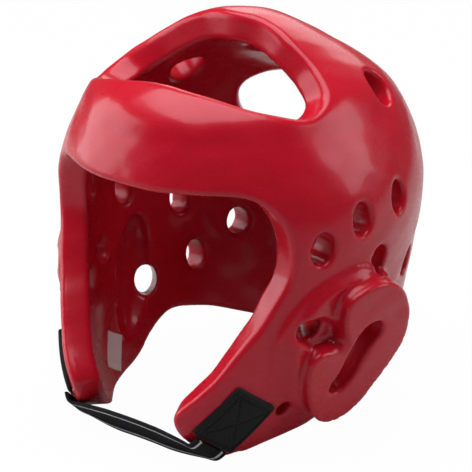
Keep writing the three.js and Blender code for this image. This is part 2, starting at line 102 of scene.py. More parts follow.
# Places on the form: turn, level, yaw to the front, roll, step to the front in millimetres
EAR_PLACE = (78.5, -0.57, 10, -36, 8)
EAR_PORT_PLACE = (59.5, -0.37, 30, 0, 4)
PATCH_PLACE = (34.3, -0.77, 0, -40, 0)
LABEL_PLACE = (-52.5, -0.86, 0, 35, 0)

# The top opening is cut from its apex, along an axis with these parts forwards and upwards
TOP_FORWARDS = 0.54
TOP_UPWARDS = 0.84
WINDOW_SQUARENESS = 2.5

# Points of the smooth edges from one row of their tables to the next
CHEEK_STEPS = 6
TOP_STEPS = 8
RIM_STEPS = 12

# Rounding of the edges of the top opening and of the rim, as shares of the other edges'
TOP_ROUND = 1.15
RIM_ROUND = 0.9

# The wearer's right cheek stands out at its foot, growing below a height and away from the middle
EASE_REACH = 7.0
EASE_HEIGHT = 58.0
EASE_START = 60.0
EASE_GROWTH = 1.3

# Slot over the ear, from the ear guard's middle, in millimetres and degrees
EAR_SLOT_FRONT = -2.5
EAR_SLOT_UP = -1
EAR_SLOT_LEAN = 4
EAR_SLOT_BEND = 1.4
EAR_SLOT_WAVE = 6.5
EAR_SLOT_DEPTH = 40
EAR_SLOT_ROUND = 2.5

# Dish inside the wall over the ear, from the ear guard's middle: half its width, height and depth
DISH_BACK = 9
DISH_UP = -3
DISH_IN = 3
DISH_LEAN = 6
DISH_HALF = (17, 39, 15)
DISH_GRADE = (17, 39, 13)  # what its distance is graded by, a little less deep, which softens its lip
DISH_ROUND = 3

# Section of the ear guard: a flange over a block, set on a mound with a bank and a valley. Lengths are in
# millimetres and turns in degrees from the front towards the top. The flange's foot and the block's top are
# shares of its height.
FLANGE_FOOT = 0.36
FLANGE_ROUND = 1.6
FLANGE_FILLET = 2
BLOCK_TOP = 0.5
BLOCK_ROUND = 1
UNDERCUT = 3.5
UNDERCUT_TURN = 45
NOTCH_TURN = 5
NOTCH_SPREAD = 26
NOTCH_ROUND = 7
NOTCH_FILLET = 3
MOUND_RISE = 4.4
MOUND_SLOPE = 5
MOUND_ROUND = 2
MOUND_INSET = 1
MOUND_FILLET = 1.5
BANK_TURN = -42
BANK_SPREAD = 34
BANK_RISE = 2.4
BANK_SLOPE = 8
VALLEY_END = (15.0, 1.0)
VALLEY_LEAD = 4
VALLEY_FLOOR = 5.5
VALLEY_EDGE = 11.5
VALLEY_DEPTH = 0.8

# How the ear guard is set on the shell, and what is cut through both, in millimetres
EAR_REACH = 75
EAR_ROOT = 6
EAR_FILLET = 2.5
EAR_VENT_HEIGHT = 4.5
EAR_VENT_ROUND = 2
PORT_ROUND = 2.5
EYELET_ROUND = 2

# Outlines of the ear guard square to its face: degrees from the front towards the top, reach of the pad
# and of the mound under it as shares of half its length
EAR_OUTLINE = {
    "angle": (
        -180, -160, -140, -120, -105, -90, -70, -45, -28, -17, -8, 5, 16, 25, 33, 42, 58, 75, 90, 105, 120,
        140, 160, 180,
    ),
    "pad": (
        0.77, 0.82, 0.95, 1.01, 1, 0.91, 0.81, 0.76, 0.73, 0.64, 0.44, 0.37, 0.43, 0.62, 0.86, 0.96, 1.01,
        1.04, 1.02, 0.98, 0.94, 0.89, 0.82, 0.77,
    ),
    "mound": (
        0.86, 0.88, 0.98, 1.03, 1.05, 1.05, 1.08, 1.12, 1.14, 1.16, 1.16, 1.16, 1.16, 1.16, 1.16, 1.15, 1.14,
        1.08, 1.03, 0.98, 0.95, 0.92, 0.88, 0.86,
    ),
}

# Strap, from the chin's middle to the patch: shares of half width, front reach and skirt's drop
STRAP_ROUTE = ((0, 0.933, 0.906), (0.15, 0.931, 0.91), (0.3, 0.925, 0.92), (0.41, 0.912, 0.918))
STRAP_TILT = 36  # lean of its upper edge to the front at the chin, in degrees
STRAP_HELD = 0.3  # share of its half length that keeps the tilt
STRAP_LEAD = 7.0  # straight stretch at each patch, in millimetres
STRAP_STEPS = 40  # points of its smooth line from knot to knot
STRAP_EASE = 1400  # times that each of these points is drawn to its neighbours' middle
PIECE_GAP = 0.3  # between a patch and the strap, in millimetres

# Mesh and weave of the strap: distances in millimetres, and the relief as shares of its thickness
STRAP_ROW = 0.325
STRAP_COLUMNS = 41
STRAP_EDGE = 0.9
YARNS = 10
YARN_RELIEF = 0.12
RIB_PITCH = 1.3
RIB_RELIEF = 0.1

# Patches and label in millimetres: corners, hem, rolled edges, seams and the mesh's step
PATCH_FOOT = 0.1
PATCH_CORNER = 2.2
PATCH_STEP = 0.4
HEM = 3.3
HEM_BASE = 0.2
HEM_SWELL = 0.35
PATCH_SINK = 0.6
TAPE_ROLL = 1.4
HEM_ROLL = 1.0
SEAM_ROLL = 2
BOX_CORNER = 0.6
BOX_SEAM = 0.75
CROSS_SEAM = 0.7
SEAM_DEPTH = 0.55
SEAM_LIFT = 0.12
SEAM_POINTS = 24
LABEL_GAP = 0.3
LABEL_CORNER = 0.5
LABEL_RISE = 0.35
LABEL_BODY = 0.4
LABEL_CURL = 0.35
LABEL_HEM = 1.2
LABEL_SEAM_LIFT = 0.06
LABEL_STITCH = (0.7, 0.8, 0.45)  # its stitches' length, pitch and thickness as shares of the patches'
LABEL_STEP = 0.3

# The edge of a pad's grid is drawn in at its corners, and its points are set on the form in some rounds
CORNER_PULL = 0.42
CORNER_POWER = 6
FORM_ROUNDS = 6

# The mesh of the skin starts from a grid in this box, in millimetres, and is evened out in some rounds
SKIN_LOW = (-120.0, -125.0, -4.0)
SKIN_HIGH = (120.0, 122.0, 238.0)
SKIN_ROUNDS = 2
SKIN_EASE = 0.6

# Studio: what the camera looks at, and the lights' names, places, widths and heights in metres, and watts
CAMERA_AIM = (-0.0009, -0.0027, 0.0969)
LIGHTS = (
    ("left_box", (-1.25, -0.6, 0.5), (1.3, 1.0), 15.0),
    ("right_box", (1.2, 0.9, 0.7), (0.8, 0.8), 7.0),
    ("top_box", (-0.1, -0.1, 1.4), (1.3, 1.3), 27.0),
    ("back_box", (-0.5, 1.2, 0.8), (0.9, 0.7), 4.0),
)
FLOOR_GREY = 0.55
FLOOR_GLOW = 0.98  # share of the floor's own white that the camera sees


def column(table, key, name, places):
    """Smooth values of a table's column at places between its rows."""
    keys = np.array(table[key], float)
    values = np.array(table[name], float)
    last = len(keys) - 1
    low = np.maximum(np.arange(last + 1) - 1, 0)
    high = np.minimum(np.arange(last + 1) + 1, last)
    slopes = (values[high] - values[low]) / (keys[high] - keys[low])
    clamped = np.clip(places, keys[0], keys[-1])
    after = np.clip(np.searchsorted(keys, clamped), 1, last)
    before = after - 1
    span = keys[after] - keys[before]
    t = (clamped - keys[before]) / span
    rise = values[after] - values[before]
    start = slopes[before] * span
    end = slopes[after] * span
    return (
        values[before] + start * t + (3 * rise - 2 * start - end) * t**2 + (start + end - 2 * rise) * t**3
    )


def smooth_max(a, b, reach):
    """The larger of two distances, with the edge between them rounded over a reach."""
    share = np.maximum(reach - np.abs(a - b), 0) / reach
    return np.maximum(a, b) + share**2 * reach / 4


def smooth_min(a, b, reach):
    """The smaller of two distances, with a fillet between them."""
    return -smooth_max(-a, -b, reach)


def smooth_step(low, high, value):
    """0 below low, 1 above high, and an even S between."""
    t = np.clip((value - low) / (high - low), 0, 1)
    return t * t * (3 - 2 * t)


def spline(points, count, first=None, last=None):
    """Smooth curve through points; first and last are the neighbours before and after its ends."""
    knots = [2 * points[0] - points[1] if first is None else first, *points]
    knots.append(2 * points[-1] - points[-2] if last is None else last)
    knots = np.array(knots)
    out = []
    for i in range(1, len(points)):
        a, b, c, d = knots[i - 1 : i + 3]
        for t in np.arange(count) / count:
            bend = (2 * a - 5 * b + 4 * c - d) * t**2 + (3 * b - a - 3 * c + d) * t**3
            out.append(0.5 * (2 * b + (c - a) * t + bend))
    out.append(np.array(points[-1]))
    return np.array(out)


def turned(x, y, degrees):
    """Coordinates seen from axes that are turned by an angle."""
    angle = math.radians(degrees)
    return x * math.cos(angle) + y * math.sin(angle), y * math.cos(angle) - x * math.sin(angle)


def edge_distance(u, v, edge, stretch):
    """Signed distance from an outline that is closed along u = 0, negative inside. Stretch holds what the
    outline's own u and v are multiplied by, each a number or one for each point."""
    best = np.full(len(u), np.inf)
    inside = np.zeros(len(u), bool)
    stretch_u, stretch_v = stretch
    for (au, av), (bu, bv) in zip(edge[:-1], edge[1:]):
        ax, bx = au * stretch_u, bu * stretch_u
        ay, by = av * stretch_v, bv * stretch_v
        dx, dy = bx - ax, by - ay
        t = np.clip(((u - ax) * dx + (v - ay) * dy) / (dx * dx + dy * dy), 0, 1)
        best = np.minimum(best, (u - ax - t * dx) ** 2 + (v - ay - t * dy) ** 2)
        crosses = (ay > v) != (by > v)
        with np.errstate(divide="ignore", invalid="ignore"):
            inside ^= crosses & (u < ax + (v - ay) * dx / dy)
    last, first = edge[-1][1] * stretch_v, edge[0][1] * stretch_v
    inside ^= ((last > v) != (first > v)) & (u < 0)
    return np.where(inside, -1, 1) * np.sqrt(best)


class Form:
    """The guard's closed outer form, in millimetres about its own origin."""

    def __init__(self, sizes):
        self.half_width = sizes.shell_width / MM / 2
        self.front = sizes.front_reach / MM
        self.rear = sizes.rear_reach / MM
        self.drop = sizes.skirt_drop / MM
        self.rise = sizes.crown_rise / MM

    def belt(self, level, ahead, inset):
        side = self.half_width * column(SHELL_FORM, "level", "side", level) - inset
        front = self.front * column(SHELL_FORM, "level", "front", level)
        rear = self.rear * column(SHELL_FORM, "level", "rear", level)
        return side, np.where(ahead, front, rear) - inset

    def distance(self, p, inset=0.0):
        """Distance outwards from the form, or from the form inset."""
        x, y, z = np.abs(p[:, 0]), p[:, 1], p[:, 2] - self.drop
        n = FORM_SQUARENESS
        rise = self.rise - inset
        lift = np.maximum(z, 0) / rise
        below = z / self.drop
        level = np.where(z < 0, below, 2 / math.pi * np.arcsin(np.minimum(lift, 1)))
        for _ in range(3):
            side, end = self.belt(level, y < 0, inset)
            q = np.maximum(((x / side) ** n + (np.abs(y) / end) ** n) ** (1 / n), TINY)
            level = np.where(z < 0, below, 2 / math.pi * np.arctan2(lift, q))
        scale = np.hypot(q, lift)
        flat = q ** (1 - n) * np.hypot(x ** (n - 1) / side**n, np.abs(y) ** (n - 1) / end**n)
        slope = np.hypot(flat * q / scale, lift / (rise * scale))
        return (scale - 1) / np.maximum(slope, TINY)

    def point(self, turn, level, inset=0.0):
        turn = math.radians(turn)
        side, end = (float(v) for v in self.belt(np.float64(level), math.cos(turn) > 0, inset))
        n = FORM_SQUARENESS
        belt = (abs(math.sin(turn) / side) ** n + abs(math.cos(turn) / end) ** n) ** (-1 / n)
        lift = math.radians(90 * max(level, 0))
        radius = belt * math.cos(lift)
        height = (self.rise - inset) * math.sin(lift) if level > 0 else level * self.drop
        return np.array([radius * math.sin(turn), -radius * math.cos(turn), self.drop + height])

    def place(self, turn, level, yaw=0.0, roll=0.0, front=0.0):
        """Origin on the form with its rearward, upward and outward directions, as rows."""
        along_turn = Vector(self.point(turn + 1, level) - self.point(turn - 1, level))
        along_level = Vector(self.point(turn, level + 0.01) - self.point(turn, level - 0.01))
        out = along_turn.cross(along_level).normalized()
        out.rotate(Matrix.Rotation(-math.radians(yaw), 3, "Z"))
        up = (Vector((0, 0, 1)) - out * out.z).normalized()
        up.rotate(Matrix.Rotation(math.radians(roll), 3, out))
        rearward = up.cross(out)
        origin = self.point(turn, level) - front * np.array(rearward)
        return origin, np.array([rearward, up, out])


def local(p, place):
    """Coordinates of points in a place on the form: rearward, upward, outward."""
    origin, axes = place
    return (p - origin) @ axes.T


class Foam:
    """Distance from the skin of the dipped foam, negative in the foam, in millimetres."""

    def __init__(self, sizes, form):
        self.sizes = sizes
        self.form = form
        self.foam = sizes.foam / MM
        self.round = sizes.edge_round / MM
        self.cheeks = self.cheek_edge()
        self.top_axis = np.array([0, -TOP_FORWARDS, TOP_UPWARDS]) / math.hypot(TOP_FORWARDS, TOP_UPWARDS)
        self.top_back = np.array([0, self.top_axis[2], -self.top_axis[1]])
        self.top_apex = np.array([0, -sizes.crown_cut_lead / MM, form.drop + sizes.crown_cut_depth / MM])
        self.top = self.top_edge()
        self.rim = self.rim_edge()
        self.ear = form.place(*EAR_PLACE)
        self.vents = [
            form.place(turn, level, (turn - EAR_TURN) * VENT_LEAN + yaw) for turn, level, yaw in VENTS
        ]
        self.port = local(form.place(*EAR_PORT_PLACE)[0][None], self.ear)[0]

    def cheek_edge(self):
        brow = self.sizes.brow_level / MM
        drop = self.form.drop
        points = [np.array([turn, drop + brow * b - drop * d]) for turn, b, d in CHEEK_EDGE]
        before = points[1] * (-1, 1)
        edge = spline(points, CHEEK_STEPS, first=before)
        edge[:, 0] = np.radians(edge[:, 0])
        return edge

    def seen_from_apex(self, p):
        """Places round the top opening's apex: angles from its axis across and back, and the reach."""
        arm = p - self.top_apex
        reach = np.maximum(np.linalg.norm(arm, axis=1), TINY)
        cosine = np.clip(arm @ self.top_axis / reach, -1, 1)
        angle = np.arccos(cosine)
        spread = angle / np.maximum(np.sin(angle), TINY)
        across = np.abs(arm[:, 0]) / reach * spread
        back = arm @ self.top_back / reach * spread
        return across, back, reach

    def top_edge(self):
        points = np.array([self.form.point(turn, level) for turn, level in TOP_EDGE])
        across, back, _ = self.seen_from_apex(points)
        flat = [np.array(pair) for pair in zip(across, back)]
        return spline(flat, TOP_STEPS, first=flat[1] * (-1, 1), last=flat[-2] * (-1, 1))

    def rim_edge(self):
        points = [
            np.array([along * (self.form.front if along < 0 else self.form.rear), rise * self.form.drop])
            for along, rise in RIM_EDGE
        ]
        return spline(points, RIM_STEPS)

    def hole(self, p, place, width, height, depth=THROUGH):
        """Distance from a round or oval hole square to the form, negative in it."""
        q = local(p, place)
        wide, tall = width / MM / 2, height / MM / 2
        size = np.maximum(np.hypot(q[:, 0] / wide, q[:, 1] / tall), TINY)
        slope = np.hypot(q[:, 0] / wide**2, q[:, 1] / tall**2) / size
        return np.maximum((size - 1) / np.maximum(slope, TINY), -depth / MM - q[:, 2])

    def window(self, x, y, z):
        """Distance from the opening at the back of the head, negative in it."""
        sizes = self.sizes
        half_width, half_height = sizes.window_width / MM / 2, sizes.window_height / MM / 2
        scale = np.hypot(x, y) / self.form.rear
        u = x / scale / half_width
        v = np.abs(z - self.form.drop - sizes.window_level / MM) / scale / half_height
        n = WINDOW_SQUARENESS
        size = np.maximum((u**n + v**n) ** (1 / n), TINY)
        slope = size ** (1 - n) * np.hypot(u ** (n - 1) / half_width, v ** (n - 1) / half_height)
        return (size - 1) / np.maximum(slope, TINY) * scale

    def ear_slot(self, p):
        """Distance from the slot over the ear, wider at its top, negative in it."""
        q = local(p, self.ear)
        x, y = turned(q[:, 0] + EAR_SLOT_FRONT, q[:, 1] - EAR_SLOT_UP, EAR_SLOT_LEAN)
        x = x + EAR_SLOT_BEND * np.sin(y / EAR_SLOT_WAVE)
        top, foot = self.sizes.ear_slot_top / MM / 2, self.sizes.ear_slot_foot / MM / 2
        half = self.sizes.ear_slot_length / MM / 2
        share = np.clip((y + half - foot) / (2 * half - top - foot), 0, 1)
        middle = foot - half + share * (2 * half - top - foot)
        across = np.hypot(x, y - middle) - foot - share * (top - foot)
        return np.maximum(across, -EAR_SLOT_DEPTH - q[:, 2])

    def ear_outline(self, name, angle, reach):
        """Distance outwards from one of the ear guard's outlines."""
        half = self.sizes.ear_length / MM / 2
        there = half * column(EAR_OUTLINE, "angle", name, angle)
        after = half * column(EAR_OUTLINE, "angle", name, angle + 1)
        slope = (after - there) / math.radians(1)
        return (reach - there) / np.hypot(1, slope / np.maximum(there, reach))

    def valley(self, front, up):
        """1 in the valley from the notch to the port, 0 away from it."""
        end = np.array(VALLEY_END)
        run = (-self.port[0] - VALLEY_LEAD, self.port[1]) - end
        share = np.clip(((front - end[0]) * run[0] + (up - end[1]) * run[1]) / (run**2).sum(), 0, 1)
        away = np.hypot(front - end[0] - share * run[0], up - end[1] - share * run[1])
        return 1 - smooth_step(VALLEY_FLOOR, VALLEY_EDGE, away)

    def ear_guard(self, p):
        """Distance from the ear guard: a mound, and the flange over its block."""
        q = local(p, self.ear)
        front, up, out = -q[:, 0], q[:, 1], q[:, 2]
        reach = np.hypot(front, up)
        angle = np.degrees(np.arctan2(up, front))
        proud = self.sizes.ear_proud / MM
        pad = self.ear_outline("pad", angle, reach)
        mound = self.ear_outline("mound", angle, reach)
        notch = np.clip(1 - ((angle - NOTCH_TURN) / NOTCH_SPREAD) ** 2, 0, 1)
        rearward = (0.5 - 0.5 * np.cos(np.radians(angle - UNDERCUT_TURN))) ** 2
        flange = smooth_max(pad, out - proud, FLANGE_ROUND + NOTCH_ROUND * notch)
        under = smooth_max(pad + UNDERCUT * rearward, out - BLOCK_TOP * proud, BLOCK_ROUND)
        block = smooth_min(np.maximum(flange, FLANGE_FOOT * proud - out), under, FLANGE_FILLET)
        bank = np.exp(-(((angle - BANK_TURN) / BANK_SPREAD) ** 2))
        crest = MOUND_RISE + BANK_RISE * bank
        crest *= 1 - smooth_step(-MOUND_SLOPE - BANK_SLOPE * bank, 0, mound)
        crest *= 1 - VALLEY_DEPTH * self.valley(front, up)
        hill = smooth_max(mound - MOUND_INSET, out - crest, MOUND_ROUND)
        return smooth_min(block, hill, MOUND_FILLET + NOTCH_FILLET * notch)

    def ear_hollow(self, p):
        """Distance from the dish inside the wall over the ear, negative in it."""
        q = local(p, self.ear)
        x, y = turned(q[:, 0] - DISH_BACK, q[:, 1] - DISH_UP, DISH_LEAN)
        spread = np.stack([x, y, q[:, 2] + self.foam + DISH_IN], 1) / DISH_HALF
        size = np.linalg.norm(spread, axis=1)
        slope = np.linalg.norm(spread / DISH_GRADE, axis=1) / np.maximum(size, TINY)
        return (size - 1) / np.maximum(slope, TINY)

    def shell(self, p, body):
        """The wall's distance with the openings, vents and rounded edges cut into it."""
        form, sizes = self.form, self.sizes
        x, y, z = p.T

        ahead = y < 0
        lead = y[ahead] + sizes.cheek_fan / MM
        turn = np.arctan2(x[ahead], -lead)
        arm = np.hypot(x[ahead], lead)
        face = edge_distance(turn * arm, z[ahead], self.cheeks, (arm, 1))
        body[ahead] = smooth_max(body[ahead], -face, self.round)

        high = z > form.drop
        across, back, reach = self.seen_from_apex(p[high])
        top = edge_distance(across * reach, back * reach, self.top, (reach, reach))
        body[high] = smooth_max(body[high], -top, self.round * TOP_ROUND)

        rear = y > 0
        body[rear] = smooth_max(body[rear], -self.window(x[rear], y[rear], z[rear]), self.round)

        rim = np.interp(y, self.rim[:, 0], self.rim[:, 1])
        body = smooth_max(body, rim - z, self.round * RIM_ROUND)

        holes = [self.hole(p, place, sizes.vent_width, sizes.vent_height) for place in self.vents]
        holes.append(self.hole(p, form.place(*CROWN_HOLE), sizes.crown_bore, sizes.crown_bore))
        holes.append(self.hole(p, form.place(*REAR_SLOT), sizes.rear_slot_width, sizes.rear_slot_length))
        for hole in holes:
            body = smooth_max(body, -hole, sizes.vent_round / MM)
        return body

    def with_ear(self, p, outer, body):
        """The wall's distance with the ear guard on it and what is cut through both."""
        form, sizes = self.form, self.sizes
        body = smooth_min(body, np.maximum(self.ear_guard(p), -outer - EAR_ROOT), EAR_FILLET)
        for place in self.vents:
            vent = self.hole(p, place, sizes.vent_width, sizes.vent_height)
            body = smooth_max(body, -np.maximum(vent, outer - EAR_VENT_HEIGHT), EAR_VENT_ROUND)
        body = smooth_max(body, -self.ear_slot(p), EAR_SLOT_ROUND)
        body = smooth_max(body, -self.ear_hollow(p), DISH_ROUND)
        port = self.hole(p, form.place(*EAR_PORT_PLACE), sizes.ear_port_bore, sizes.ear_port_bore)
        body = smooth_max(body, -port, PORT_ROUND)
        eyelet = self.hole(
            p, form.place(*EYELET), sizes.eyelet_bore, sizes.eyelet_bore, sizes.eyelet_depth
        )
        return smooth_max(body, -eyelet, EYELET_ROUND)

    def __call__(self, p):
        p = p.copy()
        p[:, 0] = np.abs(p[:, 0])
        outer = self.form.distance(p)
        body = np.maximum(outer, -self.form.distance(p, self.foam))
        near = body < self.round
        body[near] = self.shell(p[near], body[near])
        side = np.linalg.norm(p - self.ear[0], axis=1) < EAR_REACH
        body[side] = self.with_ear(p[side], outer[side], body[side])
        return body


def skin_of(field, low, high, step):
    """Closed quad mesh of a field's zero surface, by surface nets on a grid that is even about x = 0."""
    counts = [int(math.ceil((b - a) / step)) + 1 for a, b in zip(low, high)]
    half = int(math.ceil(high[0] / step))
    xs = (np.arange(half + 1)) * step
    ys = low[1] + np.arange(counts[1]) * step
    zs = low[2] + np.arange(counts[2]) * step
    values = np.empty((half + 1, counts[1], counts[2]), np.float32)
    for i, x in enumerate(xs):
        grid = np.stack(np.meshgrid([x], ys, zs, indexing="ij"), -1).reshape(-1, 3)
        values[i] = field(grid).reshape(counts[1], counts[2])
    values = np.concatenate([values[:0:-1], values])
    origin = np.array([-half * step, low[1], low[2]])

    inside = values < 0
    shape = np.array(values.shape) - 1
    corners = [(i, j, k) for i in (0, 1) for j in (0, 1) for k in (0, 1)]

    def shifted(array, corner):
        return array[tuple(slice(c, c + n) for c, n in zip(corner, shape))]

    total = sum(shifted(inside, corner).astype(np.int8) for corner in corners)
    active = (total > 0) & (total < len(corners))
    cells = np.argwhere(active)
    number = np.full(shape, -1, np.int64)
    number[active] = np.arange(len(cells))
    level = {corner: shifted(values, corner)[active] for corner in corners}
    places = np.zeros((len(cells), 3))
    crossings = np.zeros(len(cells))
    for corner in corners:
        for axis in range(3):
            if corner[axis]:
                continue
            other = tuple(c + (a == axis) for a, c in enumerate(corner))
            a, b = level[corner], level[other]
            crossed = (a < 0) != (b < 0)
            share = np.where(crossed, a / np.where(crossed, a - b, 1), 0)
            for k in range(3):
                places[:, k] += np.where(crossed, corner[k] + (share if k == axis else 0), 0)
            crossings += crossed
    places = origin + (cells + places / crossings[:, None]) * step

    quads = []
    for axis in range(3):
        b, c = (axis + 1) % 3, (axis + 2) % 3
        first = [slice(1, -1)] * 3
        second = [slice(1, -1)] * 3
        first[axis], second[axis] = slice(0, -1), slice(1, None)
        here, there = inside[tuple(first)], inside[tuple(second)]
        spots = np.argwhere(here != there)
        outwards = here[tuple(spots.T)]
        spots[:, b] += 1
        spots[:, c] += 1
        ring = []
        for db, dc in ((1, 1), (0, 1), (0, 0), (1, 0)):
            cell = spots.copy()
            cell[:, b] -= db
            cell[:, c] -= dc
            ring.append(number[tuple(cell.T)])
        quad = np.stack(ring, 1)
        quad[~outwards] = quad[~outwards, ::-1]
        quads.append(quad)
    return places, np.concatenate(quads)


def settle(field, places, rounds):
    """Points moved onto a field's zero surface in some rounds, with the outward directions there."""
    step = 0.05
    least_slope = 0.05
    longest_move = 1.5
    for _ in range(rounds):
        here = field(places)
        slope = np.stack([(field(places + step * axis) - here) / step for axis in np.eye(3)], 1)
        size = np.maximum((slope**2).sum(1), least_slope)
        move = np.clip(here / size, -longest_move, longest_move)
        places = places - slope * move[:, None]
    return places, slope / np.sqrt(size)[:, None]


def relaxed(places, quads, outward, share):
    """Points moved along the surface towards the middle of their neighbours."""
    total = np.zeros_like(places)
    count = np.zeros(len(places))
    for k in range(4):
        a, b = quads[:, k], quads[:, (k + 1) % 4]
        for i in range(3):
            total[:, i] += np.bincount(a, places[b, i], len(places))
            total[:, i] += np.bincount(b, places[a, i], len(places))
        count += np.bincount(a, minlength=len(places)) + np.bincount(b, minlength=len(places))
    move = total / count[:, None] - places
    move -= outward * (move * outward).sum(1)[:, None]
    return places + share * move


def eased(places):
    """Points in the frame's metres, with the right cheek standing wider towards its foot."""
    places = np.array(places, float)
    share = np.clip(1 - places[:, 2] / EASE_HEIGHT, 0, 1) * smooth_step(0, EASE_START, -places[:, 0])
    places[:, 0] -= EASE_REACH * share**EASE_GROWTH
    return (places + FRAME_SHIFT) * MM


def solid_object(name, places, faces):
    """Smooth mesh object from points in millimetres about the form's origin."""
    mesh = bpy.data.meshes.new(name)
    places = eased(places)
    mesh.from_pydata([], [], [])
    faces = np.asarray(faces)
    mesh.vertices.add(len(places))
    mesh.vertices.foreach_set("co", places.ravel())
    mesh.loops.add(faces.size)
    mesh.loops.foreach_set("vertex_index", faces.ravel().astype(np.int32))
    mesh.polygons.add(len(faces))
    mesh.polygons.foreach_set("loop_start", (np.arange(len(faces)) * faces.shape[1]).astype(np.int32))
    mesh.polygons.foreach_set("loop_total", np.full(len(faces), faces.shape[1], np.int32))
    mesh.update(calc_edges=True)
    mesh.validate()
    mesh.shade_smooth()
    piece = bpy.data.objects.new(name, mesh)
    bpy.context.scene.collection.objects.link(piece)
    return piece


def dents(places):
    """Slow rise and fall of a hand-dipped skin, in shares of its depth."""
    x, y, z = places.T / 10
    return (
        np.sin(1.3 * x + 0.7 * z + 0.4) * np.sin(1.1 * y - 0.5 * z + 1.7)
        + 0.6 * np.sin(2.3 * z + 0.9 * x + 2.2) * np.sin(1.9 * y + 0.8 * x)
        + 0.3 * np.sin(3.4 * x - 2.1 * y + 0.6) * np.sin(2.9 * z + 1.1)
    )


class Wire:
    """A node's output as a number in a sum: the operators add Math nodes."""

    def __init__(self, finish, socket):
        self.finish = finish
        self.socket = socket

    def __add__(self, other):
        return self.finish.math("ADD", self, other)

    __radd__ = __add__

    def __mul__(self, other):
        return self.finish.math("MULTIPLY", self, other)

    __rmul__ = __mul__

    def __sub__(self, other):
        return self.finish.math("SUBTRACT", self, other)

    def __rsub__(self, other):
        return self.finish.math("SUBTRACT", other, self)


class Finish:
    """A material with one shader, built from expressions."""

    def __init__(self, name):
        self.material = bpy.data.materials.new(name)
        self.material.use_nodes = True
        self.tree = self.material.node_tree
        self.shader = next(n for n in self.tree.nodes if n.type == "BSDF_PRINCIPLED")

    def node(self, kind, settings=None, inputs=None, output=0):
        """Any node: its settings first, then values or wires for its sockets by name or number."""
        node = self.tree.nodes.new(kind)
        for key, value in (settings or {}).items():
            setattr(node, key, value)
        for key, value in (inputs or {}).items():
            if isinstance(value, Wire):
                self.tree.links.new(value.socket, node.inputs[key])
            else:
                node.inputs[key].default_value = value
        return Wire(self, node.outputs[output])

    def math(self, operation, *values):
        return self.node("ShaderNodeMath", {"operation": operation}, dict(enumerate(values)))

    def clamped(self, value):
        return self.node("ShaderNodeClamp", None, {"Value": value})

    def mixed(self, share, a, b):
        """Colour between a and b."""
        sockets = {0: share, 6: a, 7: b}
        return self.node("ShaderNodeMix", {"data_type": "RGBA"}, sockets, output=2)

    def place(self, scale=(1, 1, 1)):
        """Object coordinates in metres, each times its scale."""
        at = self.node("ShaderNodeTexCoord", output="Object")
        return self.node("ShaderNodeMapping", None, {"Vector": at, "Scale": scale})

    def across(self, layer):
        """The two coordinates of a UV layer."""
        uv = self.node("ShaderNodeUVMap", {"uv_map": layer})
        split = self.node("ShaderNodeSeparateXYZ", None, {"Vector": uv})
        return split, Wire(self, split.socket.node.outputs[1])

    def noise(self, at, scale, detail=2.0, roughness=0.5):
        inputs = {"Vector": at, "Scale": scale, "Detail": detail, "Roughness": roughness}
        return self.node("ShaderNodeTexNoise", None, inputs)

    def bump(self, height, distance, strength):
        inputs = {"Height": height, "Distance": distance, "Strength": strength}
        return self.node("ShaderNodeBump", None, inputs)

    def shade(self, **sockets):
        """Values or wires for the shader's own sockets, named with _ for a space."""
        for key, value in sockets.items():
            socket = self.shader.inputs[key.replace("_", " ")]
            if isinstance(value, Wire):
                self.tree.links.new(value.socket, socket)
            else:
                socket.default_value = value
        return self.material


def red_vinyl(colours):
    """Glossy dipped vinyl: an even red with a faint orange peel and a few rubbed spots."""
    finish = Finish("red_vinyl")
    at = finish.place()
    cloud = finish.noise(at, 14.0, 3.0)
    speck = finish.noise(at, 900.0, 1.0)
    base = finish.mixed(finish.clamped(cloud * 1.6 - 0.3), (*colours.vinyl_deep, 1), (*colours.vinyl, 1))
    peel = finish.noise(at, 420.0, 2.0)
    wave = finish.noise(at, 60.0, 1.0)
    height = peel * 0.35 + wave * 0.65
    smears = finish.noise(finish.place((1, 1, 2.2)), 45.0, 4.0, 0.6)
    gloss = finish.clamped(smears * 0.22 + speck * 0.05 + 0.14)
    return finish.shade(
        Base_Color=base,
        Roughness=gloss,
        Normal=finish.bump(height, 0.00035, 0.35),
        Specular_IOR_Level=0.3,
        Specular_Tint=(1, 0.8, 0.95, 1),
        Coat_Weight=0.14,
        Coat_Roughness=0.07,
        IOR=1.46,
    )


def loop_tape(colours):
    """Black loop tape: a felted pile with loose fibres."""
    finish = Finish("black_patch")
    at = finish.place()
    pile = finish.noise(at, 2600.0, 3.0, 0.7)
    tufts = finish.noise(at, 700.0, 2.0)
    dust = finish.clamped(finish.noise(at, 1500.0, 2.0) * 3 - 1.75)
    base = finish.mixed(dust * 0.5, (*colours.tape, 1), (*colours.tape_dust, 1))
    return finish.shade(
        Base_Color=base,
        Roughness=0.9,
        Normal=finish.bump(pile * 0.6 + tufts * 0.4, 0.0007, 0.9),
        Specular_IOR_Level=0.25,
        Sheen_Weight=0.05,
        Sheen_Roughness=0.5,
    )


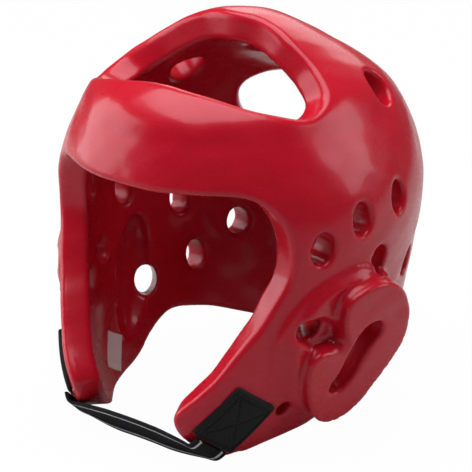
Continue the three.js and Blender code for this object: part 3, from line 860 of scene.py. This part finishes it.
def webbing(colours):
    """Black woven webbing with two pale lines along it, and painted shade darkening the grooves between its
    yarns, on its own map: lengthwise, then across.
    """
    finish = Finish("black_webbing")
    along, across = finish.across("band")
    ribs = finish.math("SINE", along * (2 * math.pi / 0.0013)) * 0.5 + 0.5
    yarns = finish.math("SINE", across * (2 * math.pi / 0.0011)) * 0.5 + 0.5
    weave = ribs * yarns
    from_middle = finish.math("ABSOLUTE", across)
    beside = finish.math("ABSOLUTE", from_middle - colours.line_place)
    line = finish.math("LESS_THAN", beside, colours.line_width / 2)
    fuzz = finish.noise(finish.place(), 1800.0, 2.0)
    pale = finish.mixed(fuzz * 0.5, (*colours.line, 1), (*[0.6 * c for c in colours.line], 1))
    # Painted shade: where the weave is low, in the grooves between the yarns, the colour turns to the darker
    # one.
    dark = finish.mixed(weave * 0.6, (*colours.webbing_groove_shade, 1), (*colours.webbing, 1))
    return finish.shade(
        Base_Color=finish.mixed(line, dark, pale),
        Roughness=finish.clamped(0.78 - weave * 0.2),
        Normal=finish.bump(weave + fuzz * 0.2, 0.0003, 0.7),
        Specular_IOR_Level=0.2,
    )


def satin(colours):
    """White label satin with a fine twill."""
    finish = Finish("label_white")
    at = finish.place()
    cloud = finish.noise(at, 90.0, 2.0)
    weft = finish.node(
        "ShaderNodeTexWave",
        {"wave_type": "BANDS", "bands_direction": "DIAGONAL"},
        {"Vector": at, "Scale": 700.0, "Distortion": 0.6},
        output="Fac",
    )
    base = finish.mixed(cloud * 0.7, (*colours.label, 1), (*[0.8 * c for c in colours.label], 1))
    return finish.shade(Base_Color=base, Roughness=0.5, Normal=finish.bump(weft, 0.0001, 0.5))


def thread(name, colour):
    """Twisted sewing thread."""
    finish = Finish(name)
    twist = finish.noise(finish.place(), 3000.0, 2.0)
    base = finish.mixed(twist * 0.6, (*colour, 1), (*[0.55 * c for c in colour], 1))
    return finish.shade(Base_Color=base, Roughness=0.6, Normal=finish.bump(twist, 0.0002, 0.6))


def stitched(name, runs, material, length, pitch, thickness):
    """Plain mesh of stitches that follow runs of points, made with Geometry Nodes."""
    tree = bpy.data.node_groups.new(name + "_rule", "GeometryNodeTree")
    tree.is_modifier = True
    interface = tree.interface
    interface.new_socket("Geometry", in_out="INPUT", socket_type="NodeSocketGeometry")
    sockets = {
        label: interface.new_socket(label, in_out="INPUT", socket_type="NodeSocketFloat")
        for label in ("Pitch", "Stitch Length", "Thread Thickness")
    }
    interface.new_socket("Geometry", in_out="OUTPUT", socket_type="NodeSocketGeometry")
    nodes, links = tree.nodes, tree.links
    given = nodes.new("NodeGroupInput")
    curve = nodes.new("GeometryNodeMeshToCurve")
    spots = nodes.new("GeometryNodeCurveToPoints")
    spots.mode = "LENGTH"
    bead = nodes.new("GeometryNodeMeshUVSphere")
    bead.inputs["Segments"].default_value = 6
    bead.inputs["Rings"].default_value = 5
    bead.inputs["Radius"].default_value = 0.5
    size = nodes.new("ShaderNodeCombineXYZ")
    spread = nodes.new("GeometryNodeInstanceOnPoints")
    whole = nodes.new("GeometryNodeRealizeInstances")
    smooth = nodes.new("GeometryNodeSetShadeSmooth")
    finish = nodes.new("GeometryNodeSetMaterial")
    finish.inputs["Material"].default_value = material
    done = nodes.new("NodeGroupOutput")
    links.new(given.outputs["Geometry"], curve.inputs[0])
    links.new(curve.outputs[0], spots.inputs["Curve"])
    links.new(given.outputs["Pitch"], spots.inputs["Length"])
    links.new(given.outputs["Thread Thickness"], size.inputs[0])
    links.new(given.outputs["Thread Thickness"], size.inputs[1])
    links.new(given.outputs["Stitch Length"], size.inputs[2])
    links.new(spots.outputs["Points"], spread.inputs["Points"])
    links.new(spots.outputs["Rotation"], spread.inputs["Rotation"])
    links.new(bead.outputs["Mesh"], spread.inputs["Instance"])
    links.new(size.outputs[0], spread.inputs["Scale"])
    links.new(spread.outputs[0], smooth.inputs[0])
    links.new(smooth.outputs[0], whole.inputs[0])
    links.new(whole.outputs[0], finish.inputs["Geometry"])
    links.new(finish.outputs[0], done.inputs[0])

    mesh = bpy.data.meshes.new(name + "_runs")
    points, edges = [], []
    for run in runs:
        start = len(points)
        points.extend(eased(run))
        edges.extend((start + i, start + i + 1) for i in range(len(run) - 1))
    mesh.from_pydata(points, edges, [])
    guide = bpy.data.objects.new(name + "_runs", mesh)
    bpy.context.scene.collection.objects.link(guide)
    modifier = guide.modifiers.new("rule", "NODES")
    modifier.node_group = tree
    for label, value in (("Pitch", pitch), ("Stitch Length", length), ("Thread Thickness", thickness)):
        modifier[sockets[label].identifier] = value
    depsgraph = bpy.context.evaluated_depsgraph_get()
    made = bpy.data.meshes.new_from_object(guide.evaluated_get(depsgraph))
    made.name = name
    bpy.data.objects.remove(guide)
    piece = bpy.data.objects.new(name, made)
    bpy.context.scene.collection.objects.link(piece)
    return piece


def mirrored(points, side):
    return np.asarray(points) * (side, 1, 1)


def on_form(form, place, across, along, height):
    """Points over a place on the form, moved along its outward direction to a height over the form."""
    origin, axes = place
    base = origin + across[:, None] * axes[0] + along[:, None] * axes[1]
    depth = np.zeros(len(base))
    for _ in range(FORM_ROUNDS):
        depth -= form.distance(base + depth[:, None] * axes[2]) - height
    return base + depth[:, None] * axes[2]


def grid_faces(rows, columns, offset=0, flip=False):
    """Quads of a grid of points, row by row."""
    i, j = np.meshgrid(np.arange(rows - 1), np.arange(columns - 1), indexing="ij")
    a = (offset + i * columns + j).ravel()
    quads = np.stack([a, a + 1, a + columns + 1, a + columns], 1)
    return quads[:, ::-1] if flip else quads


def border(rows, columns):
    """Point numbers round the edge of a grid."""
    south = list(range(columns))
    east = [i * columns + columns - 1 for i in range(1, rows)]
    north = [(rows - 1) * columns + j for j in range(columns - 2, -1, -1)]
    west = [i * columns for i in range(rows - 2, 0, -1)]
    return np.array(south + east + north + west)


def rounded_square(u, v, half_u, half_v, corner):
    """Distance inwards from the edge of a rounded rectangle."""
    du = np.abs(u) - (half_u - corner)
    dv = np.abs(v) - (half_v - corner)
    outside = np.hypot(np.maximum(du, 0), np.maximum(dv, 0)) + np.minimum(np.maximum(du, dv), 0)
    return corner - outside


def pad_of(name, form, place, size, foot, top_of, step, side=1):
    """Thin closed pad on the form, from half its width and length and its corners' radius. The height of
    its top comes from each point's place, and side -1 puts it on the other side."""
    half_u, half_v, corner = size
    columns = int(round(2 * half_u / step)) + 1
    rows = int(round(2 * half_v / step)) + 1
    v, u = np.meshgrid(np.linspace(-1, 1, rows), np.linspace(-1, 1, columns), indexing="ij")
    u, v = u.ravel(), v.ravel()
    squeeze = corner / max(half_u, half_v) * CORNER_PULL
    bend = squeeze * (u * v) ** CORNER_POWER
    across, along = u * half_u * (1 - bend * half_v / half_u), v * half_v * (1 - bend)
    top = on_form(form, place, across, along, top_of(across, along))
    base = on_form(form, place, across, along, np.full(len(across), foot))
    edge = border(rows, columns)
    following = np.roll(edge, -1)
    count = rows * columns
    walls = np.stack([edge, edge + count, following + count, following], 1)
    points = mirrored(np.concatenate([top, base]), side)
    quads = np.concatenate([grid_faces(rows, columns), grid_faces(rows, columns, count, True), walls])
    if side < 0:
        quads = quads[:, ::-1]
    return outward(solid_object(name, points, quads))


def outward(piece):
    """Faces turned outwards on a closed piece."""
    mesh = piece.data
    mesh.calc_loop_triangles()
    volume = 0
    for triangle in mesh.loop_triangles:
        a, b, c = (mesh.vertices[i].co for i in triangle.vertices)
        volume += a.dot(b.cross(c))
    if volume < 0:
        mesh.flip_normals()
    return piece


class GuardSizes(PropertyGroup):
    """Sizes of the dipped foam."""

    shell_width: FloatProperty(name="Width", description="Over the temples", default=0.202, unit="LENGTH")
    front_reach: FloatProperty(
        name="Front reach", description="Crown to brow", default=0.104, unit="LENGTH"
    )
    rear_reach: FloatProperty(name="Rear reach", description="Crown to back", default=0.110, unit="LENGTH")
    skirt_drop: FloatProperty(
        name="Drop", description="Temples down to the floor", default=0.130, unit="LENGTH"
    )
    crown_rise: FloatProperty(
        name="Rise", description="Temples up to the top", default=0.102, unit="LENGTH"
    )
    foam: FloatProperty(name="Foam", description="Thickness of the wall", default=0.017, unit="LENGTH")
    edge_round: FloatProperty(
        name="Rounding", description="Reach of the round edges", default=0.0038, unit="LENGTH"
    )
    vent_round: FloatProperty(
        name="Vent lips", description="Reach of the vents' lips", default=0.003, unit="LENGTH"
    )
    brow_level: FloatProperty(name="Brow", description="Band's lower edge", default=0.027, unit="LENGTH")
    cheek_fan: FloatProperty(
        name="Fan", description="Line the cheeks are cut to", default=0.035, unit="LENGTH"
    )
    crown_cut_depth: FloatProperty(
        name="Cut depth", description="Height of the cuts' apex", default=0.032, unit="LENGTH"
    )
    crown_cut_lead: FloatProperty(
        name="Cut lead", description="Its place ahead of the middle", default=0.010, unit="LENGTH"
    )
    window_width: FloatProperty(
        name="Window", description="Rear opening's width", default=0.129, unit="LENGTH"
    )
    window_height: FloatProperty(
        name="Window height", description="Its height", default=0.062, unit="LENGTH"
    )
    window_level: FloatProperty(name="Window level", description="Its middle", default=0.023, unit="LENGTH")
    vent_height: FloatProperty(
        name="Vent height", description="Of the side vents", default=0.018, unit="LENGTH"
    )
    vent_width: FloatProperty(
        name="Vent width", description="Of the side vents", default=0.0135, unit="LENGTH"
    )
    crown_bore: FloatProperty(
        name="Crown holes", description="Their diameter", default=0.022, unit="LENGTH"
    )
    rear_slot_width: FloatProperty(name="Rear slot", description="Its width", default=0.044, unit="LENGTH")
    rear_slot_length: FloatProperty(
        name="Rear slot length", description="Its length", default=0.022, unit="LENGTH"
    )
    eyelet_bore: FloatProperty(name="Eyelet", description="Its diameter", default=0.009, unit="LENGTH")
    eyelet_depth: FloatProperty(name="Eyelet depth", description="Its depth", default=0.008, unit="LENGTH")
    ear_length: FloatProperty(name="Ear guard", description="Its length", default=0.088, unit="LENGTH")
    ear_proud: FloatProperty(
        name="Ear guard height", description="Out from the shell", default=0.012, unit="LENGTH"
    )
    ear_slot_length: FloatProperty(name="Ear slot", description="Its length", default=0.048, unit="LENGTH")
    ear_slot_top: FloatProperty(
        name="Ear slot top", description="Its upper width", default=0.0155, unit="LENGTH"
    )
    ear_slot_foot: FloatProperty(
        name="Ear slot foot", description="Its lower width", default=0.013, unit="LENGTH"
    )
    ear_port_bore: FloatProperty(name="Ear port", description="Its diameter", default=0.014, unit="LENGTH")
    dent_depth: FloatProperty(
        name="Unevenness", description="Depth of the skin's waves", default=0.00025, unit="LENGTH"
    )
    skin_step: FloatProperty(
        name="Mesh step", description="Spacing of the skin's mesh", default=0.0016, unit="LENGTH"
    )


class TrimSizes(PropertyGroup):
    """Sizes of the patches, the strap and the label."""

    patch_length: FloatProperty(
        name="Patch length", description="Down the cheek", default=0.038, unit="LENGTH"
    )
    patch_width: FloatProperty(name="Patch width", description="Across it", default=0.031, unit="LENGTH")
    patch_height: FloatProperty(
        name="Patch height", description="Its thickness", default=0.0024, unit="LENGTH"
    )
    strap_width: FloatProperty(
        name="Strap width", description="Of the webbing", default=0.025, unit="LENGTH"
    )
    strap_height: FloatProperty(
        name="Strap height", description="Its thickness", default=0.0018, unit="LENGTH"
    )
    label_width: FloatProperty(name="Label width", description="Of the label", default=0.018, unit="LENGTH")
    label_length: FloatProperty(
        name="Label length", description="Of the label", default=0.023, unit="LENGTH"
    )
    stitch: FloatProperty(name="Stitch", description="Length of a stitch", default=0.0019, unit="LENGTH")
    pitch: FloatProperty(
        name="Stitch pitch", description="From stitch to stitch", default=0.0026, unit="LENGTH"
    )
    thread: FloatProperty(name="Thread", description="Its thickness", default=0.0007, unit="LENGTH")


class Colours(PropertyGroup):
    """Colours of the pieces."""

    vinyl: FloatVectorProperty(
        name="Vinyl", description="Red skin", subtype="COLOR", default=(0.5, 0.006, 0.02)
    )
    vinyl_deep: FloatVectorProperty(
        name="Deep vinyl", description="Its shade", subtype="COLOR", default=(0.42, 0.004, 0.015)
    )
    tape: FloatVectorProperty(
        name="Tape", description="Patches", subtype="COLOR", default=(0.0065, 0.006, 0.006)
    )
    tape_dust: FloatVectorProperty(
        name="Tape lint", description="Lint", subtype="COLOR", default=(0.025, 0.023, 0.022)
    )
    webbing: FloatVectorProperty(
        name="Webbing", description="Strap", subtype="COLOR", default=(0.012, 0.012, 0.014)
    )
    # Darker colour painted into the grooves between the strap's yarns as painted shade.
    webbing_groove_shade: FloatVectorProperty(
        name="Webbing groove shade", description="Between yarns", subtype="COLOR", default=(0.003, 0.003, 0.004)
    )
    line: FloatVectorProperty(
        name="Line", description="Lines on the strap", subtype="COLOR", default=(0.55, 0.56, 0.6)
    )
    label: FloatVectorProperty(
        name="Label", description="Satin", subtype="COLOR", default=(0.8, 0.77, 0.76)
    )
    thread: FloatVectorProperty(
        name="Thread", description="Patch sewing", subtype="COLOR", default=(0.002, 0.002, 0.002)
    )
    line_place: FloatProperty(
        name="Line place", description="From the strap's middle", default=0.0085, unit="LENGTH"
    )
    line_width: FloatProperty(name="Line width", description="Of each line", default=0.0016, unit="LENGTH")


class StageSettings(PropertyGroup):
    """Camera and light."""

    lens: FloatProperty(name="Lens", description="Focal length in millimetres", default=117.3)
    distance: FloatProperty(name="Distance", description="Camera to the guard", default=0.9, unit="LENGTH")
    azimuth: FloatProperty(
        name="Azimuth", description="From the front", default=math.radians(35.8), subtype="ANGLE"
    )
    elevation: FloatProperty(
        name="Elevation", description="Over the floor", default=math.radians(22), subtype="ANGLE"
    )
    ambient: FloatProperty(name="Ambient", description="Light from all round", default=0.1)
    floor_reach: FloatProperty(name="Floor", description="Half its side", default=8.0, unit="LENGTH")


def settings():
    scene = bpy.context.scene
    return scene.guard_sizes, scene.guard_trim, scene.guard_colours, scene.guard_stage


class GUARD_OT_foam(Operator):
    """Build the dipped foam: shell and both ear guards under one skin"""

    bl_idname = "guard.foam"
    bl_label = "Dipped foam"

    def execute(self, context):
        sizes, _, colours, _ = settings()
        form = Form(sizes)
        field = Foam(sizes, form)
        places, quads = skin_of(field, SKIN_LOW, SKIN_HIGH, sizes.skin_step / MM)
        places, away = settle(field, places, SKIN_ROUNDS)
        for _ in range(SKIN_ROUNDS):
            places, away = settle(field, relaxed(places, quads, away, SKIN_EASE), 1)
        places = places + away * (dents(places) * sizes.dent_depth / MM)[:, None]
        skin = outward(solid_object("dipped_foam", places, quads))
        skin.data.materials.append(red_vinyl(colours))
        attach(skin, "root")
        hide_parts("shell", "ear_guard_left", "ear_guard_right")
        return {"FINISHED"}


def rolled(inwards, width):
    """Height of a rolled edge as a share of the full height, by the distance from the edge."""
    share = np.clip(inwards / width, 0, 1)
    return np.sqrt(np.maximum(1 - (1 - share) ** 2, 0))


def groove(distance, width):
    """Share of a sewn groove's depth at a distance from its line."""
    return np.exp(-((distance / width) ** 2))


class GUARD_OT_patches(Operator):
    """Sew the two loop tape patches on the cheeks"""

    bl_idname = "guard.patches"
    bl_label = "Strap patches"

    def execute(self, context):
        sizes, trim, colours, _ = settings()
        form = Form(sizes)
        place = form.place(*PATCH_PLACE)
        half_u, half_v = trim.patch_width / MM / 2, trim.patch_length / MM / 2
        height = trim.patch_height / MM
        box_u, box_v = half_u - HEM, half_v - HEM
        diagonal = math.hypot(box_u, box_v)

        def top_of(across, along):
            edge = rounded_square(across, along, half_u, half_v, PATCH_CORNER)
            in_box = (np.abs(across) < box_u) & (np.abs(along) < box_v)
            to_box = np.abs(rounded_square(across, along, box_u, box_v, BOX_CORNER))
            rising = np.abs(across * box_v - along * box_u)
            falling = np.abs(across * box_v + along * box_u)
            cross = groove(np.minimum(rising, falling) / diagonal, CROSS_SEAM)
            sewn = np.maximum(groove(to_box, BOX_SEAM), np.where(in_box, cross, 0))
            swell = HEM_SWELL * np.sin(math.pi * np.clip(edge / HEM, 0, 1)) + HEM_BASE
            tape = HEM_BASE + (height - PATCH_SINK) * rolled(edge, TAPE_ROLL)
            return tape + swell * rolled(edge, HEM_ROLL) - SEAM_DEPTH * sewn * rolled(edge, SEAM_ROLL)

        finish = loop_tape(colours)
        sewing = thread("black_thread", colours.thread)
        box = [(-1, -1), (1, -1), (1, 1), (-1, 1), (-1, -1)]
        runs_flat = [np.array(pair, float) * (box_u, box_v) for pair in zip(box[:-1], box[1:])]
        runs_flat += [np.array([(-box_u, v), (box_u, -v)]) for v in (-box_v, box_v)]
        for name, side in (("left", 1), ("right", -1)):
            size = (half_u, half_v, PATCH_CORNER)
            piece = pad_of("loop_patch_" + name, form, place, size, PATCH_FOOT, top_of, PATCH_STEP, side)
            piece.data.materials.append(finish)
            runs = []
            for run in runs_flat:
                across, along = np.linspace(*run, SEAM_POINTS).T
                lift = top_of(across, along) + SEAM_LIFT
                runs.append(mirrored(on_form(form, place, across, along, lift), side))
            stitches = "patch_stitches_" + name
            seam = stitched(stitches, runs, sewing, trim.stitch, trim.pitch, trim.thread)
            for part in (piece, seam):
                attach(part, "root")
            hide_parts("strap_patch_" + name)
        return {"FINISHED"}


def strap_line(form, trim):
    """Points along the strap from patch to patch, how far along it each lies, and the patch's directions."""
    place = form.place(*PATCH_PLACE)
    height = PIECE_GAP + trim.strap_height / MM / 2
    end = -trim.patch_length / MM / 2 - PIECE_GAP
    half = [
        np.array([form.half_width * side, -form.front * front, form.drop * (1 - drop)])
        for side, front, drop in STRAP_ROUTE
    ]
    origin, axes = place
    half += [origin + y * axes[1] + height * axes[2] for y in (end - STRAP_LEAD, end)]
    knots = [p * (-1, 1, 1) for p in half[:0:-1]] + half
    knots = [2 * knots[0] - knots[1], *knots, 2 * knots[-1] - knots[-2]]
    fine = []
    for a, b, c, d in zip(knots, knots[1:], knots[2:], knots[3:]):
        s0, s1, s2 = (math.sqrt(np.linalg.norm(q - p)) for p, q in ((a, b), (b, c), (c, d)))
        start = ((b - a) / s0 - (c - a) / (s0 + s1) + (c - b) / s1) * s1
        stop = ((c - b) / s1 - (d - b) / (s1 + s2) + (d - c) / s2) * s1
        for t in np.arange(STRAP_STEPS) / STRAP_STEPS:
            bend = (3 * (c - b) - 2 * start - stop) * t**2 + (2 * (b - c) + start + stop) * t**3
            fine.append(b + start * t + bend)
    fine.append(knots[-2])
    fine = np.array(fine)
    for _ in range(STRAP_EASE):
        fine[1:-1] = (fine[:-2] + 2 * fine[1:-1] + fine[2:]) / 4
    reach = np.concatenate([[0], np.cumsum(np.linalg.norm(np.diff(fine, axis=0), axis=1))])
    return fine, reach, axes


class GUARD_OT_strap(Operator):
    """Weave the chin strap from patch to patch"""

    bl_idname = "guard.strap"
    bl_label = "Chin strap"

    def execute(self, context):
        sizes, trim, colours, _ = settings()
        form = Form(sizes)
        fine, reach, axes = strap_line(form, trim)
        length = reach[-1]
        count = int(length / STRAP_ROW)
        rows = np.linspace(0, length, count + 1)
        middle = np.stack([np.interp(rows, reach, fine[:, k]) for k in range(3)], 1)
        along = np.gradient(middle, rows, axis=0)
        along /= np.linalg.norm(along, axis=1)[:, None]
        place = 2 * rows / length - 1
        tilt = math.radians(STRAP_TILT)
        wide = np.array([0, math.sin(tilt), -math.cos(tilt)])
        laid = smooth_step(STRAP_HELD, 1, np.abs(place))[:, None]
        at_side = axes[0] * np.stack([np.sign(place), np.ones_like(place), np.ones_like(place)], 1)
        wide = wide * (1 - laid) + at_side * laid
        wide -= along * (wide * along).sum(1)[:, None]
        wide /= np.linalg.norm(wide, axis=1)[:, None]
        thick = np.cross(along, wide)
        thick *= np.sign((thick * (0, -1, 0)).sum(1))[:, None]

        half, deep = trim.strap_width / MM / 2, trim.strap_height / MM / 2
        across = np.linspace(-1, 1, STRAP_COLUMNS)
        body = rolled((1 - np.abs(across)) * half, STRAP_EDGE)
        body *= 1 - YARN_RELIEF * np.cos(across * math.pi * YARNS) ** 2
        ribs = 1 - RIB_RELIEF * (0.5 + 0.5 * np.cos(rows * 2 * math.pi / RIB_PITCH))
        lift = deep * body[None, :] * ribs[:, None]
        flat = middle[:, None] + wide[:, None] * (across * half)[None, :, None]
        front = flat + thick[:, None] * lift[..., None]
        rear = flat - thick[:, None] * lift[..., None]
        ring = np.concatenate([front, rear[:, -2:0:-1]], 1)
        width = ring.shape[1]
        points = ring.reshape(-1, 3)
        i, j = np.meshgrid(np.arange(count), np.arange(width), indexing="ij")
        a, b = (i * width + j).ravel(), (i * width + (j + 1) % width).ravel()
        quads = np.stack([a, b, b + width, a + width], 1)
        over = np.arange(1, STRAP_COLUMNS - 2)
        under = width - over
        cap = np.stack([over, over + 1, under - 1, under], 1)
        faces = np.concatenate([quads, cap, cap + count * width])
        strap = outward(solid_object("chin_band", points, faces))
        layer = strap.data.uv_layers.new(name="band")
        u = np.repeat(rows, width) * MM
        v = np.tile(np.concatenate([across, across[-2:0:-1]]) * half, count + 1) * MM
        index = np.empty(len(strap.data.loops), np.int32)
        strap.data.loops.foreach_get("vertex_index", index)
        layer.data.foreach_set("uv", np.stack([u[index], v[index]], 1).ravel())
        strap.data.materials.append(webbing(colours))
        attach(strap, "root")
        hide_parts("chin_strap")
        length * MM
        return {"FINISHED"}


class GUARD_OT_label(Operator):
    """Sew the blank label inside the right cheek"""

    bl_idname = "guard.label"
    bl_label = "Label"

    def execute(self, context):
        sizes, trim, colours, _ = settings()
        form = Form(sizes)
        place = form.place(*LABEL_PLACE)
        half_u, half_v = trim.label_width / MM / 2, trim.label_length / MM / 2
        foam = sizes.foam / MM

        def top_of(across, along):
            edge = rounded_square(across, along, half_u, half_v, LABEL_CORNER)
            curl = smooth_step(0.5, 1, np.abs(along) / half_v) * smooth_step(0.3, 1, across / half_u)
            weave = 0.05 * groove(edge - 1.4, 0.35)
            satin_height = -foam - LABEL_RISE - LABEL_BODY * rolled(edge, LABEL_BODY)
            return satin_height - LABEL_CURL * curl + weave

        size = (half_u, half_v, LABEL_CORNER)
        piece = pad_of("blank_label", form, place, size, -foam - LABEL_GAP, top_of, LABEL_STEP)
        piece.data.materials.append(satin(colours))
        sewing = thread("white_thread", colours.label)
        runs = []
        for side in (-1, 1):
            along = np.linspace(-half_v + 1, half_v - 1, SEAM_POINTS)
            across = np.full(SEAM_POINTS, side * (half_u - LABEL_HEM))
            lift = top_of(across, along) - LABEL_SEAM_LIFT
            runs.append(on_form(form, place, across, along, lift))
        finer = [size * share for size, share in zip((trim.stitch, trim.pitch, trim.thread), LABEL_STITCH)]
        seam = stitched("label_stitches", runs, sewing, *finer)
        for part in (piece, seam):
            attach(part, "root")
        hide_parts("care_label")
        return {"FINISHED"}


def facing(place, back):
    """Placement of a camera or lamp at a place, with its back to a direction."""
    return Matrix.Translation(place) @ back.to_track_quat("Z", "Y").to_matrix().to_4x4()


class GUARD_OT_stage(Operator):
    """Set up the floor, the lights and the camera"""

    bl_idname = "guard.stage"
    bl_label = "Stage"

    def execute(self, context):
        _, _, _, stage = settings()
        scene = context.scene
        middle = Vector(CAMERA_AIM)
        level, rise = math.cos(stage.elevation), math.sin(stage.elevation)
        back = Vector((math.sin(stage.azimuth) * level, -math.cos(stage.azimuth) * level, rise))
        lens = bpy.data.cameras.new("camera")
        lens.lens = stage.lens
        lens.sensor_width = 36
        camera = bpy.data.objects.new("camera", lens)
        camera.matrix_world = facing(middle + stage.distance * back, back)
        scene.collection.objects.link(camera)
        scene.camera = camera

        reach = stage.floor_reach
        mesh = bpy.data.meshes.new("floor")
        corners = [(-reach, -reach, 0), (reach, -reach, 0), (reach, reach, 0), (-reach, reach, 0)]
        mesh.from_pydata(corners, [], [(0, 1, 2, 3)])
        floor = bpy.data.objects.new("floor", mesh)
        scene.collection.objects.link(floor)
        finish = Finish("floor")
        tree = finish.tree
        seen = finish.node("ShaderNodeLightPath", output="Is Camera Ray")
        glow = tree.nodes.new("ShaderNodeEmission")
        glow.inputs["Color"].default_value = (1, 1, 1, 1)
        mix = tree.nodes.new("ShaderNodeMixShader")
        share = seen * FLOOR_GLOW
        tree.links.new(share.socket, mix.inputs[0])
        finish.shade(Base_Color=(FLOOR_GREY, FLOOR_GREY, FLOOR_GREY, 1), Roughness=0.9)
        tree.links.new(finish.shader.outputs[0], mix.inputs[1])
        tree.links.new(glow.outputs[0], mix.inputs[2])
        output = next(n for n in tree.nodes if n.type == "OUTPUT_MATERIAL")
        tree.links.new(mix.outputs[0], output.inputs["Surface"])
        mesh.materials.append(finish.material)

        world = bpy.data.worlds.new("studio")
        world.use_nodes = True
        scene.world = world
        nodes, links = world.node_tree.nodes, world.node_tree.links
        nodes.clear()
        path = nodes.new("ShaderNodeLightPath")
        dim = nodes.new("ShaderNodeBackground")
        dim.inputs["Color"].default_value = (1, 1, 1, 1)
        dim.inputs["Strength"].default_value = stage.ambient
        white = nodes.new("ShaderNodeBackground")
        white.inputs["Color"].default_value = (1, 1, 1, 1)
        blend = nodes.new("ShaderNodeMixShader")
        out = nodes.new("ShaderNodeOutputWorld")
        links.new(path.outputs["Is Camera Ray"], blend.inputs[0])
        links.new(dim.outputs[0], blend.inputs[1])
        links.new(white.outputs[0], blend.inputs[2])
        links.new(blend.outputs[0], out.inputs["Surface"])
        scene.view_settings.view_transform = "Standard"
        scene.view_settings.look = "None"

        for name, at, (width, height), power in LIGHTS:
            lamp = bpy.data.lights.new(name, "AREA")
            lamp.shape = "RECTANGLE"
            lamp.size, lamp.size_y = width, height
            lamp.energy = power
            light = bpy.data.objects.new(name, lamp)
            light.matrix_world = facing(Vector(at), Vector(at) - middle)
            light.visible_camera = False
            scene.collection.objects.link(light)
        return {"FINISHED"}


class GUARD_PT_panel(Panel):
    """Lists the guard's pieces in the sidebar"""

    bl_idname = "GUARD_PT_panel"
    bl_label = "Head Guard"
    bl_space_type = "VIEW_3D"
    bl_region_type = "UI"
    bl_category = "Head Guard"

    def draw(self, context):
        for operator in OPERATORS:
            self.layout.operator(operator.bl_idname)


OPERATORS = (GUARD_OT_foam, GUARD_OT_patches, GUARD_OT_strap, GUARD_OT_label, GUARD_OT_stage)
GROUPS = (GuardSizes, TrimSizes, Colours, StageSettings)
POINTERS = (
    ("guard_sizes", GuardSizes), ("guard_trim", TrimSizes), ("guard_colours", Colours),
    ("guard_stage", StageSettings),
)


def register():
    for kind in (*GROUPS, *OPERATORS, GUARD_PT_panel):
        bpy.utils.register_class(kind)
    for name, kind in POINTERS:
        setattr(bpy.types.Scene, name, PointerProperty(type=kind))


def unregister():
    for name, _ in POINTERS:
        delattr(bpy.types.Scene, name)
    for kind in reversed((*GROUPS, *OPERATORS, GUARD_PT_panel)):
        bpy.utils.unregister_class(kind)


def main():
    register()
    for operator in OPERATORS:
        group, name = operator.bl_idname.split(".")
        getattr(getattr(bpy.ops, group), name)()


if __name__ == "__main__":
    main()
